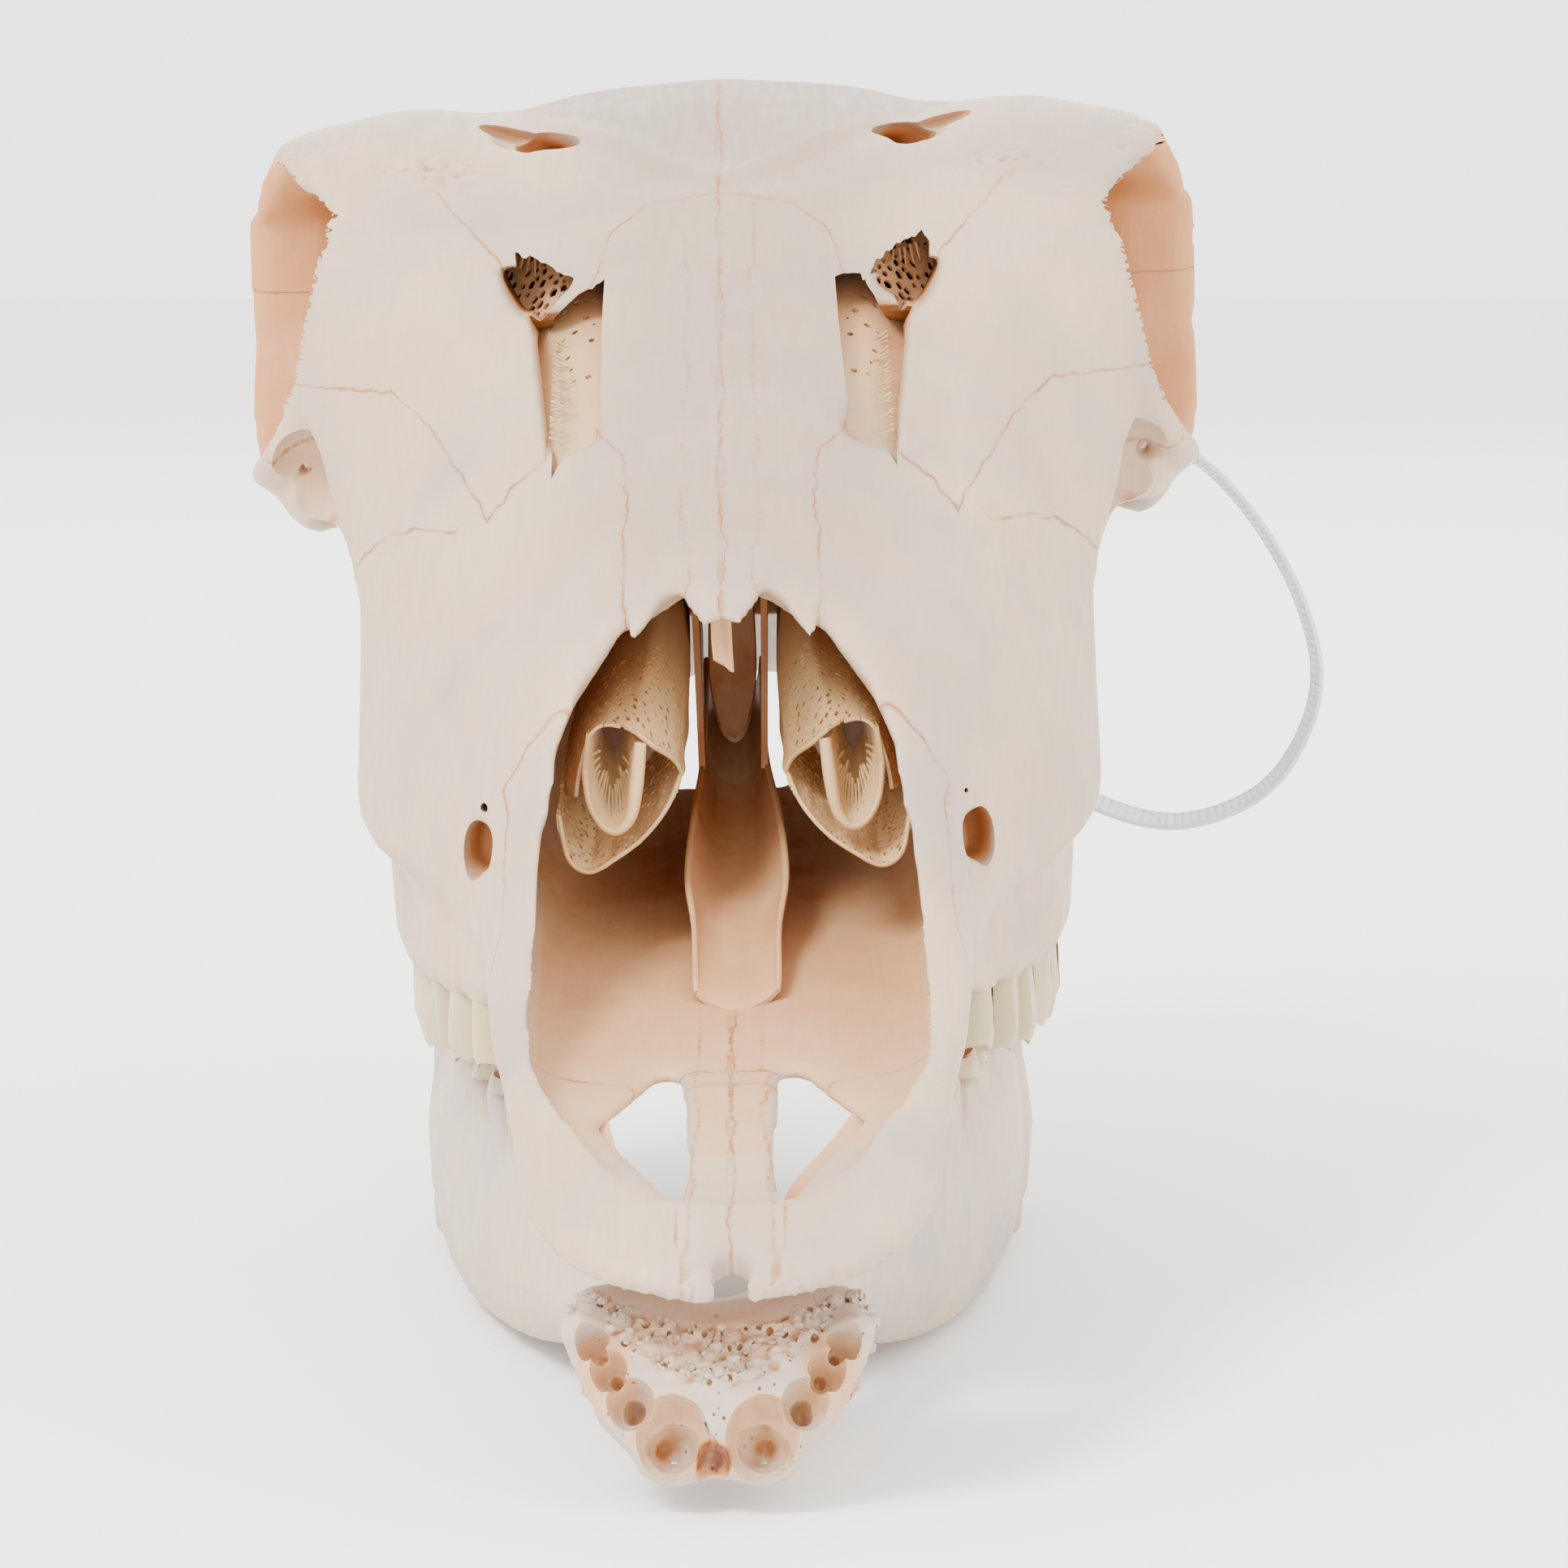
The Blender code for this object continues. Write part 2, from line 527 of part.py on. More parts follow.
def whole_skull():
    skull = fuse_soft("skull", skull_pieces())
    # notches between the tips of the nasal bones, and between the tips of the snout
    cut(skull, prism("tip notches", ((-16, 80), (16, 80), (15.8, 96), (13.8, 96.5), (12.2, 93.6), (9.4, 98),
                                     (7, 102.5), (4.6, 96.5), (2.6, 90.5), (1, 92.5), (-1.2, 92.5),
                                     (-4.2, 97),
                                     (-7, 102), (-9.4, 97.5), (-12, 94), (-13.4, 96.5),
                                     (-15.8, 96.5)), "Z", 95, 125))
    cut(skull, prism("snout notch", ((-1.4, -1), (-2.6, 3), (0, 8), (2.6, 3), (1.4, -1)), "Z", 25, 45))
    return cut(skull, *skull_cutters())


def half_of(obj, name):
    """The right half, which passes the middle by less than a seam."""
    return keep_inside(obj, box(name, (-0.2, -20, -10), (120, 420, 260)))


# The bones, as outlines that part the skull along its seams
def nasal_region(grow):
    outline = ((-5, 80), (13.4, 80), (14.6, 104), (13.6, 122), (14.4, 140), (17.4, 149), (20.1, 159),
               (20.3, 190), (16.8, 203), (12, 211), (-5, 214))
    rings = []
    for lift in (0, 1):
        rings.append([(p.x, p.y, 200 + grow if lift else 92 + (p.y - 85) * 0.43 - grow)
                      for p in grown_outline(outline, grow or 1e-6)])
    return [skin_rings("nasal region", rings)]


def lacrimal_region(grow):
    outline = ((25.5, 128.6), (30, 125), (35, 121), (42, 131), (50.5, 138), (63, 138), (90, 138), (90, 165.5),
               (64.5, 165.5), (52, 171), (45, 168.5), (34.4, 156.8), (29, 148), (27, 140))
    return [prism("lacrimal region", outline, "Y", 120, 212, grow)]


def premaxilla_region(grow):
    slanted = ((-20, 20), (47, 20), (47, 43), (88, 91), (88, 140), (-20, 140))
    return [
        prism("premaxilla region", slanted, "X", -5, 60, grow),
        box("snout strip region", (-5, -10, 20), (7.2 + grow, 66 + grow, 52)),
    ]


def jugal_region(grow):
    front = ((36, 119), (50, 118), (57.5, 110), (58, 95), (95, 95), (95, 137.7), (50.5, 137.7), (42, 130.7),
             (35.5, 121))
    side = ((208, 95), (258, 95), (270, 149), (208, 149))
    return [
        prism("jugal region", front, "Y", 150, 212, grow),
        prism("arch region", side, "X", 57, 95, grow),
    ]


def frontal_region(grow):
    outline = ((190, 149), (212, 140), (232, 149), (256, 149), (288, 158), (294, 200), (190, 200))
    return [prism("frontal region", outline, "X", -5, 95, grow)]


def maxilla_region(grow):
    return [box("maxilla region", (-5, -20, 0), (95, 212 + grow, 160 + grow))]


def occipital_region(grow):
    outline = ((312, 60), (318, 100), (336, 145), (334, 175), (400, 175), (400, 60))
    return [prism("occipital region", outline, "X", -5, 95, grow)]


def parietal_region(grow):
    outline = ((270, 145), (345, 139), (345, 200), (270, 200))
    return [prism("parietal region", outline, "X", -5, 95, grow)]


REGIONS = (
    ("nasal", nasal_region),
    ("lacrimal", lacrimal_region),
    ("premaxilla", premaxilla_region),
    ("jugal", jugal_region),
    ("frontal", frontal_region),
    ("maxilla", maxilla_region),
    ("occipital", occipital_region),
    ("parietal", parietal_region),
)
ACROSS_THE_MIDDLE = ("occipital", "parietal", "braincase")


def part_into_bones(half):
    """Takes the bones off the half skull one by one. What is left is the braincase."""
    bones = {}
    for name, region in REGIONS:
        shape = region(0.0)
        whole = join(shape[0], *shape[1:]) if len(shape) > 1 else shape[0]
        bone = keep_inside(copy_of(half, name), whole)
        bones[name] = keep_largest(bone)
        shape = region(SEAM)
        cut(half, *shape)
    half.name = "braincase"
    bones["braincase"] = keep_largest(half)
    return bones


def paired(bone, name):
    """The bone on each side of the middle seam."""
    keep_inside(bone, box("side", (SEAM / 2, -20, -10), (130, 420, 260)))
    keep_largest(bone)
    bone.name = name + "_right"
    return [bone, mirrored(bone, name + "_left")]


def single(bone, name):
    """The bone with its other half, as one piece."""
    join(bone, mirrored(bone, "other half"))
    keep_largest(bone)
    bone.name = name
    return [bone]


# Teeth
def tooth(name, centre, length, width, root_z, tip_z, lobes, outward):
    """A cheek tooth: lobes side by side, each with a high outer cusp and a lower inner one."""
    pieces = []
    for k in range(lobes):
        y = centre[1] + length * ((k + 0.5) / lobes - 0.5)
        half_l, half_w = length / lobes * 0.53, width / 2
        rings = []
        for part, (level, spread) in enumerate(((0, 0.86), (0.72, 1.0), (1, 0.8))):
            ring = []
            for a in np.linspace(0, math.tau, TOOTH_SIDES, endpoint=False):
                x = math.copysign(abs(math.cos(a)) ** 0.7, math.cos(a)) * half_w * spread
                run = math.copysign(abs(math.sin(a)) ** 0.7, math.sin(a))
                run *= half_l * (spread if part else 0.95)
                z = root_z + (tip_z - root_z) * level
                if level == 1:
                    cusp = 0.5 + 0.5 * math.cos(a) * outward
                    z -= (tip_z - root_z) * (0.2 * (1 - cusp) + 0.12 * abs(math.sin(a)))
                ring.append((centre[0] + x, y + run, z))
            rings.append(ring)
        pieces.append(skin_rings(name, rings))
    return pieces


def tooth_row(sizes, upper):
    """All the teeth of one row on the right side."""
    pieces = []
    y = TOOTH_ROW_Y
    for number, (length, width) in enumerate(sizes):
        middle = y + length / 2
        cheek = along(UPPER_CHEEK_LINE, middle)[0]
        lobes = 1 if number < 3 else 2
        if upper:
            tip = along(UPPER_TIP_Z, middle)[0]
            root = UPPER_ROOT_Z + max(0.0, (middle - 150) * 0.05)
            pieces += tooth("tooth", (cheek - width / 2, middle), length, width, root, tip, lobes, 1)
        else:
            lobes = 3 if number == 5 else lobes
            pieces += tooth("tooth", (cheek - LOWER_INSET - width / 2, middle), length, width, LOWER_ROOT_Z,
                            LOWER_TIP_Z, lobes, -1)
        y += length
    return pieces


# The lower jaw
def jaw_pieces():
    pieces = [loft("spade", SPADE_RAILS, 4.5, 70, 2.0)]
    body = ((9, 36, 17.5, 5, 8), (11, 50, 18, 5.4, 9.4), (14, 66, 18.6, 5.2, 9.8), (18.5, 86, 19.4, 5.4, 11),
            (23, 104, 18.4, 6.2, 13.9), (29, 128, 17.9, 7, 16.3), (34.6, 155, 18, 7.2, 17.7),
            (38.6, 185, 18.7, 6.8, 18.6), (40.8, 212, 21, 5.2, 20.8), (42.2, 235, 24, 3.6, 23.8))
    blade = ((198, 33), (214, 46), (230, 72), (243, 98), (253, 124), (260, 136), (268, 141.5), (271, 139.5),
             (268, 130), (265, 117), (267, 108.5), (273, 104), (280, 104.5), (286, 106), (289, 101),
             (284, 90), (277, 72),
             (273, 50), (270, 30), (264, 12), (254, 3), (243, 0), (232, 0.2), (212, 3), (200, 6))
    one_side = [
        tube("jaw body", body, sides=18),
        prism("jaw blade", spline(blade, 2, closed=True), "X", *BLADE_X),
        ellipsoid("jaw joint", (48, 286, 104.4), (9.5, 4.6, 4.2)),
        ellipsoid("jaw angle", (44.4, 244, 14), (4.2, 23, 15)),
    ]
    for index in range(4):
        one_side.append(socket(index, outer=True))
    for piece in one_side:
        pieces += both_sides(piece)
    return pieces


def socket(index, outer):
    """The rim of an empty front tooth socket, or the cone that hollows it."""
    x, y, z = SOCKET_PLACES[index]
    radius = SOCKET_RADII[index] - (0 if outer else SOCKET_WALL)
    lean = 22 + 6 * index
    if outer:
        return ellipsoid("socket rim", (x, y + 2, z), (radius, 5.5, radius), (-lean, 0, 8 * index))
    return ellipsoid("socket hollow", (x, y - 3.2, z + 1.4), (radius, 11, radius), (-lean, 0, 8 * index))


def lower_jaw():
    jaw = fuse_soft("jaw", jaw_pieces(), smoothing=4)
    for index in range(4):
        cut(jaw, *both_sides(socket(index, outer=False)))
    # small hole for the chin nerve
    cut(jaw, *both_sides(ellipsoid("chin hole", (14.5, 52, 18), (4, 3.6, 1.6))))
    half = thin_out(half_of(jaw, "jaw half"), JAW_TRIANGLES)
    keep_inside(half, box("above the table", (SEAM / 2, -20, 0), (130, 420, 260)))
    join(half, *tooth_row(LOWER_TEETH, upper=False))
    keep_largest(half)
    half.name = "mandible_right"
    sides = [half, mirrored(half, "mandible_left")]
    for bone in sides:
        bone.data.transform(Matrix.Translation((JAW_SHIFT_X * MM, 0, 0)))
    return sides


# Inside the nose
def turbinate():
    """The rolled bone at the side of the nose, hollowed from its front end, and the room it needs."""
    roll = tube("roll", ((22, 105, 77, 4, 5), (20.5, 111, 81, 6.5, 8.5), (18.2, 124, 88, 8.7, 13),
                         (16.5, 145, 99, 8.6, 15), (15.2, 170, 112, 6.9, 13), (14, 188, 122, 5, 9)), sides=18)
    obj = thin_out(fuse_soft("turbinate_right", [roll], voxel=0.7, smoothing=3), TURBINATE_TRIANGLES)
    room = grown(obj, "turbinate room")
    cut(obj, ellipsoid("roll hollow", (15.2, 107, 85), (3.8, 20, 6.4), (-30, 0, -4), segments=12))
    cut(obj, ellipsoid("upper hollow", (18.4, 112, 95), (2.6, 18, 4.4), (-30, 0, -4), segments=12))
    return keep_largest(obj), room


def vomer():
    return loft("vomer", VOMER_RAILS, 90, 201, 8.0, samples=1)


# The tie
def cable_tie():
    line = spline(TIE_PATH, 3, closed=True)
    count = len(line)
    middle = Vector(line.mean(axis=0))
    rings = []
    for i in range(count):
        ahead = (Vector(line[(i + 1) % count]) - Vector(line[i - 1])).normalized()
        centre = Vector(line[i])
        out = centre - middle
        out = (out - ahead * out.dot(ahead)).normalized()
        side = ahead.cross(out)
        wide = (side * math.cos(TIE_TWIST) + out * math.sin(TIE_TWIST)) * TIE_WIDTH / 2
        thick = (out * math.cos(TIE_TWIST) - side * math.sin(TIE_TWIST)) * TIE_THICKNESS / 2
        rings.append([centre + wide * a + thick * b for a, b in ((1, 1), (-1, 1), (-1, -1), (1, -1))])
    strap = skin_rings("cable_tie", rings, closed_path=True)
    return join(strap, box("lock", *TIE_LOCK))


# Assembly
def paint(obj, mat, collection):
    obj.data.materials.clear()
    obj.data.materials.append(mat)
    for polygon in obj.data.polygons:
        polygon.material_index = 0
    obj.data.shade_smooth()
    obj.data.set_sharp_from_angle(angle=math.radians(50))
    for home in list(obj.users_collection):
        home.objects.unlink(obj)
    collection.objects.link(obj)


def roll_skull(obj):
    """The skull leans a little on its jaw, its right side up."""
    pivot = Vector((0, 0, SKULL_ROLL_Z)) * MM
    lean = Matrix.Rotation(-SKULL_ROLL, 4, "Y")
    obj.data.transform(Matrix.Translation(pivot) @ lean @ Matrix.Translation(-pivot))
    return obj


def centre_on_floor(objects):
    """Moves all the pieces so that the middle of their box's underside is the origin."""
    points = np.array([v.co for obj in objects for v in obj.data.vertices])
    low, high = points.min(axis=0), points.max(axis=0)
    shift = Vector(((low[0] + high[0]) / -2, (low[1] + high[1]) / -2, -low[2]))
    for obj in objects:
        obj.data.transform(Matrix.Translation(shift))
    return shift


def main():
    for obj in list(bpy.data.objects):
        bpy.data.objects.remove(obj, do_unlink=True)
    collection = bpy.data.collections.new("waterbuck_skull")
    bpy.context.scene.collection.children.link(collection)
    ivory = material("ivory_bone", (0.74, 0.68, 0.61), 0.55)
    pale = material("jaw_bone", (0.82, 0.78, 0.72), 0.55)
    inner = material("inner_bone", (0.72, 0.5, 0.33), 0.7)
    nylon = material("clear_nylon", (0.72, 0.74, 0.78), 0.35)

    half = thin_out(half_of(whole_skull(), "skull half"), SKULL_TRIANGLES)
    scroll, room = turbinate()
    blade = vomer()
    cut(half, room, grown(blade, "vomer room"))
    bones = part_into_bones(half)
    join(bones["maxilla"], *tooth_row(UPPER_TEETH, upper=True))

    for name, bone in bones.items():
        made = single(bone, name) if name in ACROSS_THE_MIDDLE else paired(bone, name)
        for obj in made:
            paint(roll_skull(obj), ivory, collection)
    for obj in (scroll, mirrored(scroll, "turbinate_left"), blade):
        paint(roll_skull(obj), inner, collection)
    for obj in lower_jaw():
        paint(obj, pale, collection)
    paint(cable_tie(), nylon, collection)
    return centre_on_floor(list(collection.objects))


main()
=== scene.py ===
import math
import random

import bmesh
import bpy
import numpy as np
from mathutils import Matrix, Vector, noise
from mathutils.bvhtree import BVHTree
from mathutils.kdtree import KDTree

import time


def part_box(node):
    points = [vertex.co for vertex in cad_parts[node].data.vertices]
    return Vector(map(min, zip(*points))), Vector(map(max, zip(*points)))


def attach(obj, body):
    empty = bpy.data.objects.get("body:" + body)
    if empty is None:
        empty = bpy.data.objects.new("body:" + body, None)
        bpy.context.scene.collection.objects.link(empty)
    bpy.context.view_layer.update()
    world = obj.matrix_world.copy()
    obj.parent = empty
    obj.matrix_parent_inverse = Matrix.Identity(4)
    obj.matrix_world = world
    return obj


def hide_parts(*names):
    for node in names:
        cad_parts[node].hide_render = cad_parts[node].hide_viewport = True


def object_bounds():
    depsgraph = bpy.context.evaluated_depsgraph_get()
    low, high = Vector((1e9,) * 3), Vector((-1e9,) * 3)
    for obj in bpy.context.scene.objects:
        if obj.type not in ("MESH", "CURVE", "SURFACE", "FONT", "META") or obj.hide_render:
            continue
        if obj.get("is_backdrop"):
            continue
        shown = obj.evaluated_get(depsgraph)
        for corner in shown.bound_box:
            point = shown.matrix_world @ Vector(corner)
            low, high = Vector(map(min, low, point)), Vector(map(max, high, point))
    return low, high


started = time.time()
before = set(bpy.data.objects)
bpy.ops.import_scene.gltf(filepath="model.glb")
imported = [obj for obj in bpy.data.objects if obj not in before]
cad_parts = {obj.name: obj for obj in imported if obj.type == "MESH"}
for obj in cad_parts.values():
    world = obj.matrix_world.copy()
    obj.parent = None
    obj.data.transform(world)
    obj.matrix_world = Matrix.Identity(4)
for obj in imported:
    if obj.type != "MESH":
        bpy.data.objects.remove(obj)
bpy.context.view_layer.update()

# The skull's own frame: millimetres, X from the midline, Y back from the snout tip, Z up from the table
mm = 0.001
skull = {
    "rollDegrees": 1.4,     # the skull leans on its jaw
    "rollHeight": 48.0,
    "jawShift": -1.4,       # the jaw sits a little to one side
    "snoutTip": 1.0,        # tip of the snout ahead of Y 0
    "voxel": 0.8,
    "smoothing": 22,
    "seamClosing": 0.32,    # each copied bone swells by this before the bones are melted together
}

midX = (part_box("mandible_left")[0].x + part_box("mandible_right")[1].x) / 2 - skull["jawShift"] * mm
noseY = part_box("premaxilla_left")[0].y + skull["snoutTip"] * mm
onTable = Matrix.Translation((midX, noseY, 0)) @ Matrix.Scale(mm, 4)
pivot = Vector((0, 0, skull["rollHeight"]))
roll = Matrix.Rotation(-math.radians(skull["rollDegrees"]), 4, "Y")
skullPlace = onTable @ Matrix.Translation(pivot) @ roll @ Matrix.Translation(-pivot)
jawPlace = onTable @ Matrix.Translation((skull["jawShift"], 0, 0))
tiePlace = onTable


# Working with meshes
def finishMesh(name, bm):
    mesh = bpy.data.meshes.new(name)
    bm.to_mesh(mesh)
    bm.free()
    obj = bpy.data.objects.new(name, mesh)
    bpy.context.scene.collection.objects.link(obj)
    return obj


def freeze(obj):
    graph = bpy.context.evaluated_depsgraph_get()
    mesh = bpy.data.meshes.new_from_object(obj.evaluated_get(graph))
    old = obj.data
    obj.modifiers.clear()
    obj.data = mesh
    mesh.name = obj.name
    bpy.data.meshes.remove(old)
    return obj


def carve(obj, cutter, operation="DIFFERENCE", keep=False):
    step = obj.modifiers.new("carve", "BOOLEAN")
    step.solver = "MANIFOLD"
    step.operation = operation
    step.object = cutter
    freeze(obj)
    if not keep:
        bpy.data.objects.remove(cutter, do_unlink=True)
    return obj


def melt(obj, voxel, smoothing):
    # one closed skin round everything in the mesh, then relaxed
    step = obj.modifiers.new("melt", "REMESH")
    step.mode = "VOXEL"
    step.voxel_size = voxel * mm
    relax = obj.modifiers.new("relax", "SMOOTH")
    relax.factor = 0.5
    relax.iterations = smoothing
    return freeze(obj)


def copyOf(obj, name):
    twin = obj.copy()
    twin.data = obj.data.copy()
    twin.name = name
    bpy.context.scene.collection.objects.link(twin)
    return twin


def meltedCopies(name, nodes, swell):
    # copies of the CAD nodes, merged, swollen across the seams and joined in one mesh
    whole = bmesh.new()
    for node in nodes:
        bone = bmesh.new()
        bone.from_mesh(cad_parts[node].data)
        bmesh.ops.remove_doubles(bone, verts=bone.verts, dist=1e-6)
        bone.normal_update()
        for vert in bone.verts:
            vert.co += vert.normal * swell * mm
        scrap = bpy.data.meshes.new("scrap")
        bone.to_mesh(scrap)
        bone.free()
        whole.from_mesh(scrap)
        bpy.data.meshes.remove(scrap)
    return finishMesh(name, whole)


def ball(name, centre, radii, turn=(0, 0, 0), place=skullPlace, segments=48):
    bm = bmesh.new()
    bmesh.ops.create_uvsphere(bm, u_segments=segments, v_segments=segments // 2, radius=1)
    spin = Matrix.Rotation(math.radians(turn[2]), 4, "Z") @ Matrix.Rotation(math.radians(turn[1]), 4, "Y")
    spin = spin @ Matrix.Rotation(math.radians(turn[0]), 4, "X")
    bmesh.ops.transform(bm, matrix=place @ Matrix.Translation(centre) @ spin @ Matrix.Diagonal((*radii, 1)),
                        verts=bm.verts)
    return finishMesh(name, bm)


def block(name, low, high, place=skullPlace):
    bm = bmesh.new()
    bmesh.ops.create_cube(bm, size=1)
    size = [b - a for a, b in zip(low, high)]
    centre = [(a + b) / 2 for a, b in zip(low, high)]
    bmesh.ops.transform(bm, matrix=place @ Matrix.Translation(centre) @ Matrix.Diagonal((*size, 1)),
                        verts=bm.verts)
    return finishMesh(name, bm)


def prism(name, outline, axis, low, high, place=skullPlace):
    # an outline pushed along one axis: (x, z) along Y, (y, z) along X or (x, y) along Z
    spread = {"X": lambda p, t: (t, p[0], p[1]), "Y": lambda p, t: (p[0], t, p[1]), "Z": lambda p, t: (p[0], p[1], t)}
    bm = bmesh.new()
    face = bm.faces.new([bm.verts.new(spread[axis](p, low)) for p in outline])
    moved = bmesh.ops.extrude_face_region(bm, geom=[face])
    verts = [item for item in moved["geom"] if isinstance(item, bmesh.types.BMVert)]
    bmesh.ops.translate(bm, vec=Vector(spread[axis]((0, 0), high - low)), verts=verts)
    bmesh.ops.transform(bm, matrix=place, verts=bm.verts)
    bmesh.ops.recalc_face_normals(bm, faces=bm.faces)
    return finishMesh(name, bm)


def sheet(name, surface, across, along, place=skullPlace):
    # a grid bent to surface(u, v), with seams and poles closed where its edges meet
    bm = bmesh.new()
    bmesh.ops.create_grid(bm, x_segments=across, y_segments=along, size=0.5)
    for vert in bm.verts:
        vert.co = surface(vert.co.x + 0.5, vert.co.y + 0.5)
    bmesh.ops.remove_doubles(bm, verts=bm.verts, dist=1e-4)
    bmesh.ops.transform(bm, matrix=place, verts=bm.verts)
    bmesh.ops.recalc_face_normals(bm, faces=bm.faces)
    return finishMesh(name, bm)


def thicken(obj, thickness, offset=0.0):
    step = obj.modifiers.new("thicken", "SOLIDIFY")
    step.thickness = thickness * mm
    step.offset = offset
    step.use_even_offset = True
    return freeze(obj)


def between(keys, t):
    # a smooth curve through the keys, at t from 0 to 1
    last = len(keys) - 1
    i = min(int(t * last), last - 1)
    f = t * last - i
    points = [Vector(keys[max(0, min(last, i + k))]) for k in (-1, 0, 1, 2)]
    a, b, c, d = points
    return 0.5 * ((2 * b) + (c - a) * f + (2 * a - 5 * b + 4 * c - d) * f * f + (3 * b - a - 3 * c + d) * f ** 3)


def bent(rows):
    # surface through rows of points: u runs along a row and v from the first row to the last
    return lambda u, v: between([between(row, u) for row in rows], v)


def tube(name, path, radius, sides=10, steps=40, place=skullPlace):
    # a round rod along the path, closed at both ends. radius is one number or keys along the path
    def surface(u, v):
        ends = 0.04
        t = min(1, max(0, (v - ends) / (1 - 2 * ends)))
        cap = min(1, v / ends, (1 - v) / ends)
        centre = between(path, t)
        ahead = (between(path, min(1, t + 0.02)) - between(path, max(0, t - 0.02))).normalized()
        across = ahead.cross(Vector((0.3, 0.9, 0.2))).normalized()
        other = ahead.cross(across)
        wide = (radius if isinstance(radius, (int, float)) else between([(r, 0, 0) for r in radius], t).x)
        wide *= math.sqrt(max(0, 1 - (1 - cap) ** 2))
        return centre + (across * math.cos(u * math.tau) + other * math.sin(u * math.tau)) * wide
    return sheet(name, surface, sides, steps, place)


def mirror(obj, name, middle=0.0, place=skullPlace):
    # the same piece on the other side of the skull
    bm = bmesh.new()
    bm.from_mesh(obj.data)
    flip = place @ Matrix.Translation((2 * middle, 0, 0)) @ Matrix.Diagonal((-1, 1, 1, 1)) @ place.inverted()
    bmesh.ops.transform(bm, matrix=flip, verts=bm.verts)
    bmesh.ops.reverse_faces(bm, faces=bm.faces)
    return finishMesh(name, bm)


def joinAll(name, objects):
    whole = bmesh.new()
    for obj in objects:
        whole.from_mesh(obj.data)
        bpy.data.objects.remove(obj, do_unlink=True)
    return finishMesh(name, whole)


def pierce(obj, count, spacing, sizes, seed, zone=None, stretch=(1, 1, 1), place=skullPlace, reach=None):
    # scattered holes or pits, no two closer than spacing, only where zone(point in mm) is true.
    # reach is the (low, high) box that holds the zone
    pick = random.Random(seed)
    mesh = obj.data
    back = place.inverted()
    centres = np.zeros(len(mesh.polygons) * 3)
    mesh.polygons.foreach_get("center", centres)
    centres = centres.reshape(-1, 3) @ np.array(back.to_3x3()).T + np.array(back.translation)
    areas = np.zeros(len(mesh.polygons))
    mesh.polygons.foreach_get("area", areas)
    if reach:
        areas[np.any((centres < np.array(reach[0])) | (centres > np.array(reach[1])), axis=1)] = 0
    total = np.cumsum(areas)
    grid = {}
    taken = 0
    cutters = bmesh.new()
    for _ in range(count * 12):
        if taken >= count:
            break
        index = int(np.searchsorted(total, pick.random() * total[-1]))
        here = Vector(centres[index])
        if zone and not zone(here):
            continue
        cell = tuple(int(c // spacing) for c in here)
        close = [p for a in (-1, 0, 1) for b in (-1, 0, 1) for c in (-1, 0, 1)
                 for p in grid.get((cell[0] + a, cell[1] + b, cell[2] + c), ())]
        if any((p - here).length < spacing for p in close):
            continue
        grid.setdefault(cell, []).append(here)
        taken += 1
        radius = pick.uniform(*sizes)
        out = (back.to_3x3() @ mesh.polygons[index].normal).normalized()
        lean = Matrix.Rotation(pick.uniform(-0.5, 0.5), 4, "Z")
        outTurn = out.to_track_quat("Z", "Y").to_matrix().to_4x4()
        shape = Matrix.Diagonal((*[radius * s for s in stretch], 1))
        made = bmesh.ops.create_icosphere(cutters, subdivisions=1, radius=1)
        bmesh.ops.transform(cutters, matrix=place @ Matrix.Translation(here) @ outTurn @ lean @ shape,
                            verts=made["verts"])
    carve(obj, finishMesh("holes", cutters))
    return obj


# Sutures: where the bones of the skull meet
suture = {
    "step": 0.45,            # spacing of the points along a seam
    "wander": 1.1,           # slow waves of a seam
    "wanderSize": 9.0,
    "jag": 0.5,              # fine teeth of a seam
    "jagSize": 2.1,
    "widest": 0.05,
    "narrowest": 0.01,
}


def wavy(point):
    x, y = point
    slow = noise.noise_vector((x / suture["wanderSize"], y / suture["wanderSize"], 3.1))
    fine = noise.noise_vector((x / suture["jagSize"], y / suture["jagSize"], 7.7))
    return Vector((x + slow.x * suture["wander"] + fine.x * suture["jag"],
                   y + slow.y * suture["wander"] + fine.y * suture["jag"]))


def seamLine(outline, wide):
    # the outline in short wavy steps, moved outward by the seam's width when wide is true
    corners = [Vector(p) for p in outline]
    area = sum(a.cross(b) for a, b in zip(corners, corners[1:] + corners[:1]))
    points = []
    normals = []
    for a, b in zip(corners, corners[1:] + corners[:1]):
        steps = max(1, round((b - a).length / suture["step"]))
        along = (b - a).normalized()
        normal = Vector((along.y, -along.x)) * (1 if area > 0 else -1)
        for k in range(steps):
            points.append(wavy(a.lerp(b, k / steps)))
            normals.append(normal)
    if not wide:
        return points
    grown = []
    for i, point in enumerate(points):
        normal = (normals[i] + normals[i - 1]).normalized()
        open_ = noise.noise((point.x / 6, point.y / 6, 1.7)) * 1.6 + 0.35
        width = suture["narrowest"] + (suture["widest"] - suture["narrowest"]) * min(1, max(0, open_))
        grown.append(point + normal * width)
    return grown


